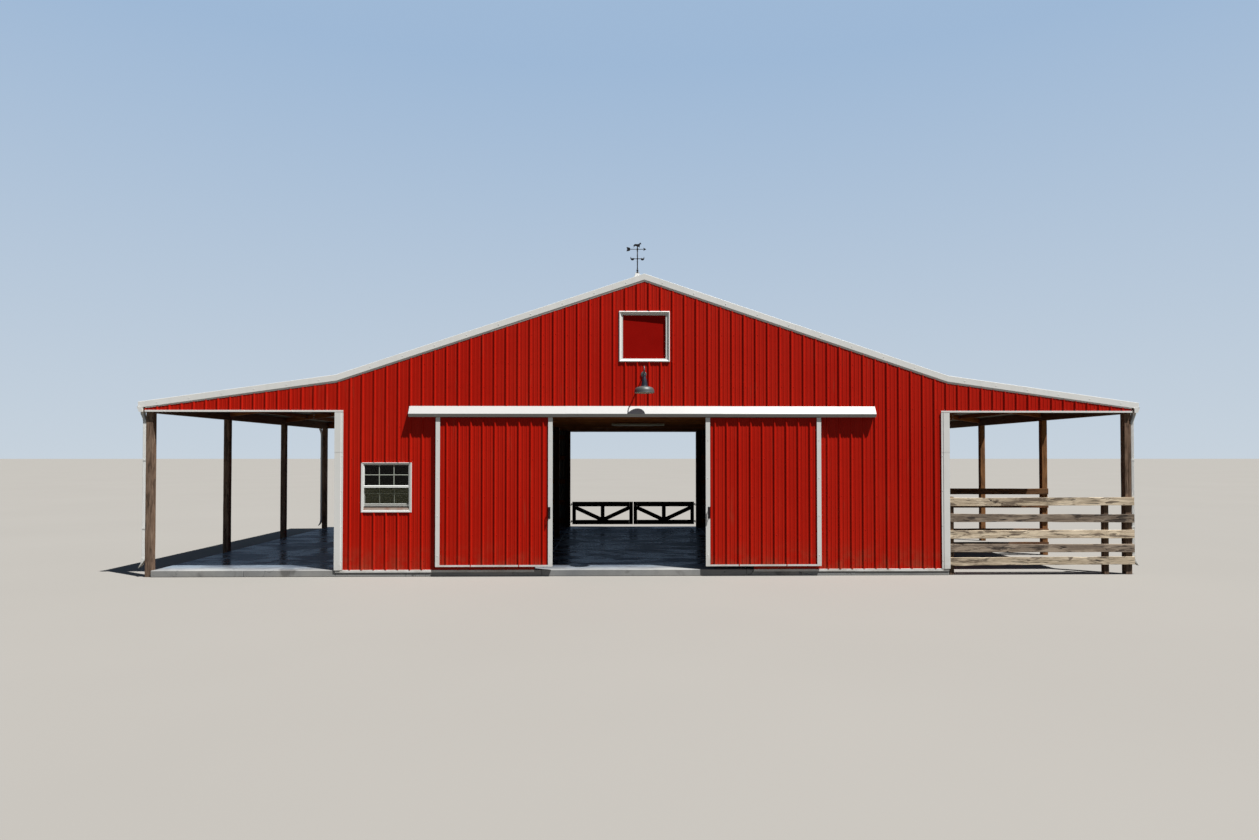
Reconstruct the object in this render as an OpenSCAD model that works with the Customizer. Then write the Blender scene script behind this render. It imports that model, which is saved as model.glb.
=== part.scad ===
// Steel-sided post-frame barn: a tall gabled centre block with an open
// side bay along each flank. Front faces -Y, +X is to the viewer's right,
// Z is up. Origin: centre of the block's plan, on the ground line.
// All lengths are millimetres.

/* [Centre block] */
// Width of the centre block over its siding
block_w = 11740; // [11000:20:12600]
// Depth of the building over its siding, front to rear
block_d = 9144; // [8600:12:9600]
// Rise of the main roof in each 12 of run
main_pitch = 4; // [3:0.25:5]
// Height of the roof panel top where the two slopes meet
break_h = 3820; // [3800:5:4000]
// Thickness of a sided wall with its girts
wall_t = 60; // [50:5:90]
// Thickness of the concrete floor
slab_t = 120; // [100:5:150]

/* [Side bays] */
// Distance from the middle of the barn to the outer post faces
bay_x = 9465; // [9300:5:9700]
// Rise of the side roof in each 12 of run
side_pitch = 1.68; // [1.3:0.04:1.9]
// Side of a square bay post
post = 130; // [110:5:150]
// Height of the clear opening under the bay headers
bay_head = 3112; // [3060:4:3140]

/* [Roof] */
// Thickness of a roof panel, measured straight down
roof_t = 26; // [20:1:40]
// Distance from the middle of the barn to the eave trim ends
eave_x = 9586; // [9560:2:9610]
// Height of the white rake trim face
rake_h = 117; // [90:1:150]
// How far the rake trim stands out from the siding
rake_out = 9; // [5:1:40]

/* [Doors] */
// Width of one sliding door leaf
door_w = 2214; // [2150:2:2215]
// Height of the front and rear doorways above the ground line
head_z = 3050; // [2900:5:3060]
// Half of the width of the front doorway
front_half = 2100; // [1950:10:2130]
// Half of the width of the rear doorway
rear_half = 1930; // [1900:5:1960]
// Left edge of the left door as it stands
left_door_x = -3966; // [-4300:5:-2300]
// Left edge of the right door as it stands
right_door_x = 1173; // [100:2:2100]
// Half of the length of the door track
track_half = 4455; // [4440:5:4500]

/* [Gable fittings] */
// Bottom of the loft hatch frame
hatch_z = 4095; // [4000:5:4200]
// Outer size of the loft hatch frame
hatch_s = 980; // [900:10:1100]
// Distance of the barn lamp from the wall
lamp_reach = 310; // [200:5:350]
// Height of the lamp shade rim
lamp_z = 3475; // [3400:5:3500]

/* [Weather vane] */
// Height of the tip of the cupola roof
cupola_top = 6890; // [6800:10:7000]
// Height of the arrow
arrow_z = 7480; // [7400:10:7600]

/* [Hidden] */
$fn = 48;
hw = block_w / 2;
hd = block_d / 2;
mp = main_pitch / 12;
sp = side_pitch / 12;
skin = 30;
bent = [-hd + skin + post / 2, -1524, 1524, hd - skin - post / 2];
// roof panel top, panel underside, rake trim top at a distance x from the middle
function rtop(x) = abs(x) <= hw ? break_h + (hw - abs(x)) * mp : break_h - (abs(x) - hw) * sp;
function rund(x) = rtop(x) - roof_t;
function rtrim(x) = rtop(x) + 22;
peak = rtop(0);

// an upright plate: outline in X and Z, between two Y values
module plate(pts, y0, y1) {
    translate([0, y1, 0]) rotate([90, 0, 0]) linear_extrude(height = y1 - y0) polygon(pts);
}
// a box from corner to corner
module bx(a, b) { translate(a) cube([b[0] - a[0], b[1] - a[1], b[2] - a[2]]); }
// the same shape on both sides of the middle plane X = 0
module both() { children(); mirror([1, 0, 0]) children(); }
// the same shape at the front and at the rear
module ends() { children(); mirror([0, 1, 0]) children(); }

// ---------------------------------------------------------------- ground
module floor_slab() color([0.62, 0.63, 0.64]) bx([-hw, -hd, 0], [hw, hd, slab_t]);
module side_bay_slab() color([0.60, 0.61, 0.62]) bx([-bay_x + post, -hd, 0], [-hw, hd, slab_t]);

// ---------------------------------------------------------------- walls
win_x = [-5353, -4471];
win_z = [1254, 2140];
red = [0.66, 0.12, 0.08];
module front_wall_left() color(red) difference() {
    bx([-hw, -hd, slab_t], [-front_half, -hd + wall_t, head_z]);
    bx([win_x[0], -hd - 10, win_z[0]], [win_x[1], -hd + wall_t + 10, win_z[1]]);
}
module front_wall_right() color(red) bx([front_half, -hd, slab_t], [hw, -hd + wall_t, head_z]);
module gable(y0, y1) {
    plate([[-hw, head_z], [hw, head_z], [hw, rund(hw)], [0, rund(0)], [-hw, rund(hw)]], y0, y1);
}
hatch_half = hatch_s / 2;
module front_gable() color(red) difference() {
    gable(-hd, -hd + wall_t);
    bx([-hatch_half + 55, -hd - 10, hatch_z + 45], [hatch_half - 55, -hd + wall_t + 10, hatch_z + hatch_s - 55]);
}
module rear_walls() color(red) both() bx([-hw, hd - wall_t, slab_t], [-rear_half, hd, head_z]);
module rear_gable() color(red) gable(hd - wall_t, hd);
module side_wall() bx([-hw, -hd + wall_t, slab_t], [-hw + wall_t, hd - wall_t, rund(hw)]);
module left_wall() color(red) side_wall();
module right_wall() color(red) mirror([1, 0, 0]) side_wall();
// sided triangle over each side bay, at one end of the building
module bay_gable(y0, y1) {
    plate([[-bay_x, bay_head + 22], [-hw, bay_head + 22], [-hw, rund(hw)], [-bay_x, rund(bay_x)]], y0, y1);
}
module bay_gables() color(red) both() ends() bay_gable(-hd, -hd + skin);

// ---------------------------------------------------------------- white trim
white = [0.90, 0.92, 0.90];
trim_t = 18;
module corner_trims() color(white) both() ends() {
    bx([-hw - trim_t, -hd - trim_t, slab_t + 2], [-hw + 140, -hd, bay_head + 9]);
    bx([-hw - trim_t, -hd - trim_t, slab_t + 2], [-hw, -hd + 110, bay_head + 9]);
}
// level trims: over each side bay opening and along the foot of the walls
module level_trims() color(white) both() ends() {
    bx([-bay_x, -hd - trim_t, bay_head + 9], [-hw + 140, -hd, bay_head + 48]);
    bx([-hw, -hd - 10, slab_t - 42], [-front_half, -hd, slab_t + 2]);
}
module rake_half() {
    plate([[0, rtrim(0)], [-hw, rtrim(hw)], [-eave_x, rtrim(eave_x)], [-eave_x, rtrim(eave_x) - rake_h],
           [-hw, rtrim(hw) - rake_h], [0, rtrim(0) - rake_h]], -hd - rake_out, -hd);
    plate([[0, rtrim(0) - rake_h], [-hw, rtrim(hw) - rake_h], [-bay_x, rtrim(bay_x) - rake_h],
           [-bay_x, rtrim(bay_x) - rake_h - 24], [-hw, rtrim(hw) - rake_h - 38], [0, rtrim(0) - rake_h - 38]],
           -hd - 4, -hd);
}
module rake_trims() color(white) ends() both() rake_half();

// ---------------------------------------------------------------- roof
module roof_main(s) plate([[0, rund(0)], [0, rtop(0)], [s * hw, rtop(hw)], [s * hw, rund(hw)]], -hd, hd);
module roof_side(s) plate([[s * hw, rund(hw)], [s * hw, rtop(hw)], [s * (eave_x - 16), rtop(eave_x - 16)],
                           [s * (eave_x - 16), rund(eave_x - 16)]], -hd, hd);
module roof_main_left() color([0.86, 0.87, 0.88]) roof_main(-1);
module roof_main_right() color([0.86, 0.87, 0.88]) roof_main(1);
module roof_side_left() color([0.86, 0.87, 0.88]) roof_side(-1);
module roof_side_right() color([0.86, 0.87, 0.88]) roof_side(1);
module ridge_cap() color(white)
    plate([[-170, rtop(170) + 0.1], [0, rtop(0) + 0.1], [170, rtop(170) + 0.1], [170, rtop(170) + 20], [0, rtop(0) + 20], [-170, rtop(170) + 20]], -hd, hd);

// ---------------------------------------------------------------- timber frame
wood = [0.42, 0.32, 0.24];
grey_wood = [0.46, 0.40, 0.36];
module bay_post(y) bx([-bay_x, y - post / 2, 0], [-bay_x + post, y + post / 2, bay_head]);
module bay_posts() color(grey_wood) both() for (y = bent) bay_post(y);
// eave header on the posts, with an outer board that the gutter hangs on
module header() {
    plate([[-bay_x, bay_head], [-bay_x + post, bay_head], [-bay_x + post, rund(bay_x - post)], [-bay_x, rund(bay_x)]], -hd + skin, hd - skin);
    plate([[-bay_x - 38, bay_head + 30], [-bay_x, bay_head + 30], [-bay_x, rund(bay_x)], [-bay_x - 38, rund(bay_x + 38)]], -hd, hd);
}
module eave_headers() color(wood) both() header();
module bay_rafter(y0, y1) plate([[-bay_x + post, rund(bay_x - post) - 120], [-bay_x + post, rund(bay_x - post)],
                                 [-hw, rund(hw)], [-hw, rund(hw) - 140]], y0, y1);
// purlins run between the rafters, flush with their tops
purl_x = [6350, 6960, 7570, 8180, 8790];
module purlin(x) {
    c = [[-x - 19, rund(x + 19) - 89], [-x + 19, rund(x - 19) - 89], [-x + 19, rund(x - 19)], [-x - 19, rund(x + 19)]];
    plate(c, -hd + skin + 38, bent[1] - 38);
    plate(c, bent[1] + 38, bent[2] - 38);
    plate(c, bent[2] + 38, hd - skin - 38);
}
module bay_rafters() color(wood) both() {
    for (y = [bent[1], bent[2]]) bay_rafter(y - 38, y + 38);
    ends() bay_rafter(-hd + skin, -hd + skin + 38);
    for (x = purl_x) purlin(x);
}
// posts inside the centre block, against the side walls and beside the doorways
module inner_posts() color(wood) both() {
    for (y = [-hd + wall_t + 70, -1524, 1524, hd - wall_t - 70])
        bx([-hw + wall_t, y - 70, slab_t], [-hw + wall_t + 140, y + 70, rund(hw - wall_t)]);
    bx([-front_half - 140, -hd + wall_t, slab_t], [-front_half, -hd + wall_t + 140, 3060]);
    for (y = [-1524, 1524]) bx([-2190, y - 70, slab_t], [-2050, y + 70, 3060]);
    bx([-rear_half - 140, hd - wall_t - 140, slab_t], [-rear_half, hd - wall_t, 3060]);
}
// loft: cross joists with a deck of boards over them
joist_y = [for (i = [0 : 14]) -hd + wall_t + 240 + i * (block_d - 2 * wall_t - 480) / 14];
module loft_joists() color(wood) {
    for (y = joist_y) bx([-hw + wall_t + 178, y - 19, 3060], [hw - wall_t - 178, y + 19, 3245]);
    both() bx([-hw + wall_t + 140, -hd + wall_t, 3060], [-hw + wall_t + 178, hd - wall_t, 3245]);
}
module loft_deck() color([0.50, 0.38, 0.26]) difference() {
    bx([-hw + wall_t, -hd + wall_t, 3245], [hw - wall_t, hd - wall_t, 3270]);
    both() for (y = [-hd + wall_t + 70, -1524, 1524, hd - wall_t - 70])
        bx([-hw + wall_t - 10, y - 71, 3200], [-hw + wall_t + 141, y + 71, 3300]);
}
// main roof frames at the four bents, under the panels
module main_rafters() color(wood) for (y = [-hd + wall_t + 70, -1524, 1524, hd - wall_t - 70])
    plate([[-hw + wall_t + 140, rund(hw - wall_t - 140) - 0.1], [0, rund(0) - 0.1], [hw - wall_t - 140, rund(hw - wall_t - 140) - 0.1],
           [hw - wall_t - 140, rund(hw - wall_t - 140) - 184], [0, rund(0) - 190], [-hw + wall_t + 140, rund(hw - wall_t - 140) - 184]], y - 38, y + 38);

// ---------------------------------------------------------------- gutters
gx = bay_x + 38;
module gutters() color(white) both() {
    plate([[-gx, 3211], [-gx, 3125], [-gx - 118, 3125], [-gx - 118, 3231], [-gx - 113, 3231], [-gx - 113, 3130],
           [-gx - 5, 3130], [-gx - 5, 3211]], -hd - 40, hd + 40);
    ends() bx([-gx - 118, -hd - 44, 3125], [-gx, -hd - 40, 3201]);
}
module downspout() {
    plate([[-bay_x - 62, 330], [-bay_x - 140, 205], [-bay_x - 140, 150], [-bay_x - 78, 150], [-bay_x - 2, 290],
           [-bay_x - 2, 2950], [-bay_x - 52, 3080], [-bay_x - 52, 3125], [-bay_x - 112, 3125], [-bay_x - 112, 3060], [-bay_x - 62, 2940]], -4537, -4457);
    // straps that tie the pipe to its post
    for (z = [900, 2200]) bx([-bay_x - 2, -4537, z], [-bay_x, -4457, z + 30]);
}
module downspouts() color(white) both() ends() downspout();

// ---------------------------------------------------------------- front door gear
door_y0 = -hd - 62;   // front face of a door's core
door_y1 = -hd - 20;    // back face of a door's core
door_z0 = 188;
door_z1 = 3024;
// a slope from the wall with a lip at its foot that turns back under it
module cover_profile(x0, x1) plate_yz([[0, 3245], [-14, 3241], [-110, 3090], [-89, 3032], [-81, 3036], [-102, 3090], [-12, 3231], [0, 3235]], x0, x1);
// an outline in Y and Z (Y from the front siding plane), between two X values
module plate_yz(pts, x0, x1) {
    translate([x0, -hd, 0]) rotate([90, 0, 90]) linear_extrude(height = x1 - x0) polygon(pts);
}
module cover_end(x0, x1) plate_yz([[0, 3235], [-12, 3231], [-102, 3090], [-81, 3036], [-40, 3060], [0, 3110]], x0, x1);
module track_cover_shape(x0, x1) {
    cover_profile(x0, x1);
    cover_end(x0, x0 + 4);
    cover_end(x1 - 4, x1);
}
cover_x = [-4480, 4445];   // the front cover as it hangs, a little to the left
module track_cover() color(white) track_cover_shape(cover_x[0], cover_x[1]);
// box track with a slot in its floor, and brackets back to the wall
module track_shape(x0, x1) {
    plate_yz([[-64, 3076], [-64, 3146], [-15, 3146], [-15, 3076], [-29, 3076], [-29, 3080], [-19, 3080], [-19, 3142],
              [-60, 3142], [-60, 3080], [-50, 3080], [-50, 3076]], x0, x1);
    for (x = [-4300, -3440, -2580, -1720, -860, 0, 860, 1720, 2580, 3440, 4300]) {
        bx([x - 30, -hd - 60, 3146], [x + 30, -hd, 3152]);
        bx([x - 30, -hd - 6, 3100], [x + 30, -hd, 3152]);
    }
}
module door_track() color([0.66, 0.68, 0.70]) track_shape(cover_x[0] + 22, cover_x[1] - 30);
module door_core(x) bx([x, door_y0, door_z0 + 12], [x + door_w, door_y1, door_z1 - 10]);
module door_edges(x) {
    for (e = [x, x + door_w - 82]) bx([e, door_y0 - 8, door_z0], [e + 82, door_y0, door_z1]);
    bx([x + 82, door_y0 - 8, door_z0], [x + door_w - 82, door_y0, door_z0 + 34]);
}
// two hangers: a strap bolted to the door's top rail and a wheel pair in the track
module hangers(x) for (h = [x + 320, x + door_w - 320]) {
    bx([h - 40, -hd - 42, door_z1 - 10], [h + 40, -hd - 37, 3110]);
    translate([h, -hd - 24.5, 3108]) rotate([90, 0, 0]) cylinder(h = 30, d = 10);
    for (y = [-hd - 54.5, -hd - 32]) translate([h, y + 7.5, 3108]) rotate([90, 0, 0]) cylinder(h = 7.5, d = 46);
}
module pull(x) {
    for (z = [1130, 1290]) translate([x, door_y0 - 8, z]) rotate([90, 0, 0]) cylinder(h = 36, d = 14);
    translate([x, door_y0 - 44, 1110]) cylinder(h = 200, d = 18);
    bx([x - 22, door_y0 - 12, 1100], [x + 22, door_y0 - 8, 1320]);
}
module left_door() { color(red) door_core(left_door_x); color(white) door_edges(left_door_x); }
module left_door_fittings() color([0.2, 0.2, 0.2]) { hangers(left_door_x); pull(left_door_x + door_w - 60); }
module right_door() { color(red) door_core(right_door_x); color(white) door_edges(right_door_x); }
module right_door_fittings() color([0.2, 0.2, 0.2]) { hangers(right_door_x); pull(right_door_x + 60); }
// rear doors of the same make, slid fully open
module rear_track_cover() color(white) rotate([0, 0, 180]) { track_cover_shape(-track_half, track_half); track_shape(-track_half + 30, track_half - 30); }
module rear_doors() mirror([0, 1, 0]) both() {
    color(red) door_core(-track_half + 25);
    color(white) door_edges(-track_half + 25);
    color([0.6, 0.62, 0.64]) hangers(-track_half + 25);
}

// ---------------------------------------------------------------- window
module window_casing() difference() {
    bx([win_x[0] - 38, -hd - 12, win_z[0] - 38], [win_x[1] + 38, -hd + 70, win_z[1] + 25]);
    bx([win_x[0] + 8, -hd - 40, win_z[0] + 22], [win_x[1] - 8, -hd + 90, win_z[1] - 4]);
    // the casing laps the siding outside and stays inside the cut through the wall
    for (s = [[win_x[0] - 60, win_x[0] + 2], [win_x[1] - 2, win_x[1] + 60]]) bx([s[0], -hd, win_z[0] - 60], [s[1], -hd + 90, win_z[1] + 60]);
    for (s = [[win_z[0] - 60, win_z[0] + 2], [win_z[1] - 2, win_z[1] + 60]]) bx([win_x[0] - 60, -hd, s[0]], [win_x[1] + 60, -hd + 90, s[1]]);
}
wz = [win_z[0] + 22, win_z[1] - 4];
wm = win_z[0] + 438;   // foot of the meeting rail
// a sash with a foot rail and a head rail
module sash(z0, z1, y0, foot, head) difference() {
    bx([win_x[0] + 8, y0, z0], [win_x[1] - 8, y0 + 28, z1]);
    bx([win_x[0] + 35, y0 - 10, z0 + foot], [win_x[1] - 35, y0 + 40, z1 - head]);
}
module window_frame() color(white) {
    window_casing();
    sash(wm, wz[1], -hd + 2, 38, 29);
    sash(wz[0] + 65, wm + 48, -hd + 32, 44, 48);
    // sloping sill under the lower sash
    plate_yz([[2, wz[0]], [60, wz[0]], [60, wz[0] + 65], [32, wz[0] + 65], [30, wz[0] + 40], [2, wz[0] + 12]], win_x[0] + 8, win_x[1] - 8);
}
module window_glass() color([0.35, 0.42, 0.45]) {
    bx([win_x[0] + 35, -hd + 14, wm + 38], [win_x[1] - 35, -hd + 18, wz[1] - 29]);
    bx([win_x[0] + 35, -hd + 44, wz[0] + 109], [win_x[1] - 35, -hd + 48, wm]);
}

// ---------------------------------------------------------------- loft hatch
module hatch_frame() color(white) difference() {
    bx([-hatch_half, -hd - 18, hatch_z], [hatch_half, -hd + 60, hatch_z + hatch_s]);
    bx([-hatch_half + 78, -hd - 60, hatch_z + 66], [hatch_half - 78, -hd + 100, hatch_z + hatch_s - 76]);
    for (s = [[-hatch_half - 10, -hatch_half + 57], [hatch_half - 57, hatch_half + 10]]) bx([s[0], -hd, hatch_z - 20], [s[1], -hd + 100, hatch_z + hatch_s + 20]);
    for (s = [[hatch_z - 20, hatch_z + 47], [hatch_z + hatch_s - 57, hatch_z + hatch_s + 20]]) bx([-hatch_half - 10, -hd, s[0]], [hatch_half + 10, -hd + 100, s[1]]);
}
module loft_hatch() color([0.55, 0.09, 0.06])
    bx([-hatch_half + 78, -hd + 21, hatch_z + 66], [hatch_half - 78, -hd + 56, hatch_z + hatch_s - 76]);

// ---------------------------------------------------------------- barn lamp
// the arm climbs a little from the wall and turns down to the shade
arm_d = 21;
arm_up = 31;                      // climb of the arm in degrees
arm_r = 70;                       // bend over the shade
arm_z = 3856;                     // where the arm leaves the wall plate
arm_l = (lamp_reach - arm_r * (1 + sin(arm_up)) - 10) / cos(arm_up);
arm_cz = arm_z + arm_l * sin(arm_up) - arm_r * cos(arm_up);
// drawn with the wall at 0 and the reach along +X, then turned to face -Y
module lamp_arm_shape() {
    translate([0, 0, arm_z]) rotate([0, 90, 0]) cylinder(h = 14, d = 110);
    translate([10, 0, arm_z]) rotate([0, 90 - arm_up, 0]) cylinder(h = arm_l, d = arm_d);
    translate([lamp_reach - arm_r, 0, arm_cz]) rotate([90, 0, 0]) rotate_extrude(angle = 90 + arm_up) translate([arm_r, 0]) circle(d = arm_d);
    translate([lamp_reach, 0, lamp_z + 350]) cylinder(h = arm_cz - lamp_z - 350, d = arm_d);
    // couplings over both ends of the bend
    translate([10 + arm_l * cos(arm_up), 0, arm_z + arm_l * sin(arm_up)]) rotate([0, 90 - arm_up, 0]) translate([0, 0, -16]) cylinder(h = 28, d = 28);
    translate([lamp_reach, 0, arm_cz - 16]) cylinder(h = 28, d = 28);
}
lamp_x = -11;                     // the lamp hangs a little left of the middle
module lamp_arm() color([0.30, 0.32, 0.35]) translate([lamp_x, -hd, 0]) rotate([0, 0, -90]) lamp_arm_shape();
// a tapered neck over a low drum with a rounded shoulder
module lamp_shade() color([0.33, 0.35, 0.38]) translate([lamp_x, -hd - lamp_reach, lamp_z]) rotate_extrude()
    polygon([[0, 350], [18, 350], [34, 290], [55, 200], [62, 124], [100, 114], [150, 99], [176, 76], [187, 40], [190, 0], [187, 0],
             [184, 39], [173, 74], [148, 96], [99, 110], [60, 118], [0, 120]]);

// ---------------------------------------------------------------- cupola and vane
cb = 280;          // half of the cupola body
ct = cupola_top;
module cupola_box() difference() {
    bx([-cb, -cb, rtop(cb) - 4], [cb, cb, ct - 570]);
    bx([-cb + 22, -cb + 22, 0], [cb - 22, cb - 22, ct]);
    plate([[0, rtop(0) + 20.1], [-170.1, rtop(170) + 20.1], [-170.1, rtop(170) + 0.1], [-cb - 10, rtop(cb + 10) + 0.1], [-cb - 10, 0], [cb + 10, 0],
           [cb + 10, rtop(cb + 10) + 0.1], [170.1, rtop(170) + 0.1], [170.1, rtop(170) + 20.1]], -cb - 10, cb + 10);
}
module cupola() color(white) {
    cupola_box();
    bx([-390, -390, ct - 570], [390, 390, ct - 545]);
    translate([0, 0, ct - 545]) rotate([0, 0, 45]) rotate_extrude($fn = 4)
        polygon([[0, 0], [385 * sqrt(2), 0], [240 * sqrt(2), 125], [125 * sqrt(2), 305], [28 * sqrt(2), 545], [0, 545]]);
}
black = [0.07, 0.07, 0.07];
module vane_mast() color(black) {
    translate([0, 0, ct]) cylinder(h = arrow_z - 40 - ct, d = 26);
    translate([0, 0, arrow_z - 40]) cylinder(h = 60, d = 12);
    translate([0, 0, ct + 55]) sphere(d = 76);
    translate([0, 0, 7270]) sphere(d = 46);
    for (a = [0, 90]) rotate([0, 0, a]) translate([-160, 0, 7270]) rotate([0, 90, 0]) cylinder(h = 320, d = 16);
    for (a = [0 : 90 : 270]) rotate([0, 0, a]) translate([115, -4, 7240]) cube([75, 8, 62]);
}
module weather_vane() color(black) {
    // hub on the mast's pin
    difference() {
        translate([0, 0, arrow_z - 36]) cylinder(h = 76, d = 34);
        translate([0, 0, arrow_z - 50]) cylinder(h = 72, d = 12.1);
    }
    // arrow: bar, head and tail
    for (s = [-1, 1]) translate([s > 0 ? 15 : -205, 0, arrow_z]) rotate([0, 90, 0]) cylinder(h = s > 0 ? 150 : 190, d = 16);
    plate([[150, arrow_z - 42], [224, arrow_z], [150, arrow_z + 42]], -5, 5);
    plate([[-278, arrow_z - 54], [-180, arrow_z - 40], [-180, arrow_z + 40], [-278, arrow_z + 54], [-250, arrow_z]], -5, 5);
    // running horse
    translate([0, 0, arrow_z + 36]) plate(horse, -5, 5);
}
// outline of the horse, standing on the hub and on the bar
horse = [[-12, 0], [12, 0], [14, 26], [40, 24], [48, 2], [58, 4], [54, 32], [66, 50], [60, 74], [72, 92], [92, 86], [100, 98],
         [84, 122], [74, 134], [64, 128], [44, 104], [10, 92], [-50, 96], [-74, 92], [-96, 62], [-112, 40], [-104, 36], [-88, 56],
         [-82, 60], [-88, 38], [-100, 12], [-92, 8], [-76, 34], [-60, 46], [-30, 44], [-14, 34]];

// ---------------------------------------------------------------- fence
rail_z = [273, 520, 787, 1098, 1416];
module front_fence() color([0.60, 0.54, 0.47]) {
    for (z = rail_z) bx([hw + 24, -hd - 8, z - 75], [bay_x + 24, -hd + skin, z + 75]);
    bx([hw + 24, -hd + skin, 0], [hw + 114, -hd + skin + 90, 1500]);
    bx([8910, -hd + skin, 0], [9010, -hd + skin + 100, 1440]);
}
module inner_fence() color([0.50, 0.40, 0.31]) {
    for (z = [235, 545, 855, 1165, 1475]) bx([hw, bent[1] - 65 - 30, z - 70], [bay_x, bent[1] - 65, z + 70]);
    bx([hw, bent[1] - 65, 0], [hw + 90, bent[1] + 27, 1560]);
}

// ---------------------------------------------------------------- rear gate
gpx = rear_half - 30;       // hinge pin line
gy = hd - 72;               // middle of the gate's thickness
module gate_leaf_shape() {
    // drawn for the left leaf, closed
    x0 = -gpx + 32; x1 = -10; xm = (x0 + x1) / 2; z0 = 205; z1 = 885;
    bx([x0, gy - 19, z1 - 120], [x1, gy + 19, z1]);
    bx([x0, gy - 19, z0], [x1, gy + 19, z0 + 95]);
    for (x = [x0, x1 - 95]) bx([x, gy - 19, z0], [x + 95, gy + 19, z1]);
    bx([xm - 60, gy - 19, z0], [xm + 60, gy + 19, z1]);
    plate([[x0 + 60, z1 - 80], [x0 + 60, z1 - 215], [xm - 80, z0 + 40], [xm, z0 + 50], [xm, z0 + 120], [x0 + 130, z1 - 90]], gy - 19, gy + 19);
    plate([[x1 - 60, z1 - 80], [x1 - 60, z1 - 215], [xm + 80, z0 + 40], [xm, z0 + 50], [xm, z0 + 120], [x1 - 130, z1 - 90]], gy - 19, gy + 19);
}
hinge_z = [270, 790];
module gate_strap_shape() for (z = hinge_z) {
    difference() {
        union() {
            translate([-gpx, gy, z]) cylinder(h = 44, d = 24);
            bx([-gpx, gy - 25, z + 4], [-gpx + 300, gy - 19, z + 40]);
            bx([-gpx - 3, gy - 25, z + 4], [-gpx + 8, gy, z + 40]);
        }
        translate([-gpx, gy, z - 10]) cylinder(h = 80, d = 14.1);
    }
}
module gate_leaf() { color([0.20, 0.14, 0.11]) gate_leaf_shape(); color([0.12, 0.12, 0.12]) gate_strap_shape(); }
module gate_left() gate_leaf();
module gate_right() mirror([1, 0, 0]) gate_leaf();
module gate_pins() color([0.12, 0.12, 0.12]) both() for (z = hinge_z) {
    translate([-gpx, gy, z - 22]) cylinder(h = 76, d = 14);
    bx([-rear_half, gy - 12, z - 22], [-gpx, gy + 12, z - 4]);
    translate([-gpx, gy, z - 22]) cylinder(h = 18, d = 24);
}

// ---------------------------------------------------------------- aisle light
module strip_light() color([0.85, 0.85, 0.80]) {
    bx([-640, -1450, 2985], [580, -1330, 3040]);
    for (x = [-500, 440]) bx([x - 20, -1410, 3040], [x + 20, -1370, 3060]);
}

floor_slab();
side_bay_slab();
front_wall_left();
front_wall_right();
front_gable();
rear_walls();
rear_gable();
left_wall();
right_wall();
bay_gables();
corner_trims();
level_trims();
rake_trims();
roof_main_left();
roof_main_right();
roof_side_left();
roof_side_right();
ridge_cap();
bay_posts();
eave_headers();
bay_rafters();
inner_posts();
loft_joists();
loft_deck();
main_rafters();
gutters();
downspouts();
track_cover();
door_track();
left_door();
left_door_fittings();
right_door();
right_door_fittings();
rear_track_cover();
rear_doors();
window_frame();
window_glass();
hatch_frame();
loft_hatch();
lamp_arm();
lamp_shade();
cupola();
vane_mast();
weather_vane();
front_fence();
inner_fence();
gate_left();
gate_right();
gate_pins();
strip_light();
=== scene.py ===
"""Red post-frame barn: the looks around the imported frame."""
import math
import random

import bmesh
import bpy
from mathutils import Matrix, Vector, noise


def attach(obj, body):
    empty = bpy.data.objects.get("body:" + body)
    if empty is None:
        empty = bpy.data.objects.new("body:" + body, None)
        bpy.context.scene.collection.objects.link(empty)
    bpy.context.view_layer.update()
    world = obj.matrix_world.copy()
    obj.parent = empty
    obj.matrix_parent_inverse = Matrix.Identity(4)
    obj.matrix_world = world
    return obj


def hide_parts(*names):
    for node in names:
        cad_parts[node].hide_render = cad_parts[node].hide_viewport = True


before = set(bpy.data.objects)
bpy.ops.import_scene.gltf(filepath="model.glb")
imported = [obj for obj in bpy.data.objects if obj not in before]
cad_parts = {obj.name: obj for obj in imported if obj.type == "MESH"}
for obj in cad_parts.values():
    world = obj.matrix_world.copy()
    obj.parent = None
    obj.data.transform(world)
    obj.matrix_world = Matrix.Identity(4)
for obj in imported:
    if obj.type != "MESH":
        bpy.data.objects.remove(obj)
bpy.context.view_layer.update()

scene = bpy.context.scene

# ------------------------------------------------------------------ sizes
HW, HD = 5.870, 4.572              # half of the centre block, over its siding
MP, SP = 4 / 12, 1.68 / 12         # slopes of the main and the side roofs
BAYX, POST = 9.465, 0.130          # outer post faces, side of a bay post
BREAK = 3.820                      # roof top where the slopes meet
HEAD = 3.112                       # underside of the bay headers
BENT = (-4.477, -1.524, 1.524, 4.477)
PITCH = 0.2286                     # distance between the ribs of a sheet
EAVE = 9.586
SLAB = 0.120
SKIN = 0.0016                      # sheet thickness as drawn


def rtop(x):
    x = abs(x)
    return BREAK + (HW - x) * MP if x <= HW else BREAK - (x - HW) * SP


def rund(x):
    return rtop(x) - 0.026


def rtrim(x):
    return rtop(x) + 0.022


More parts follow.
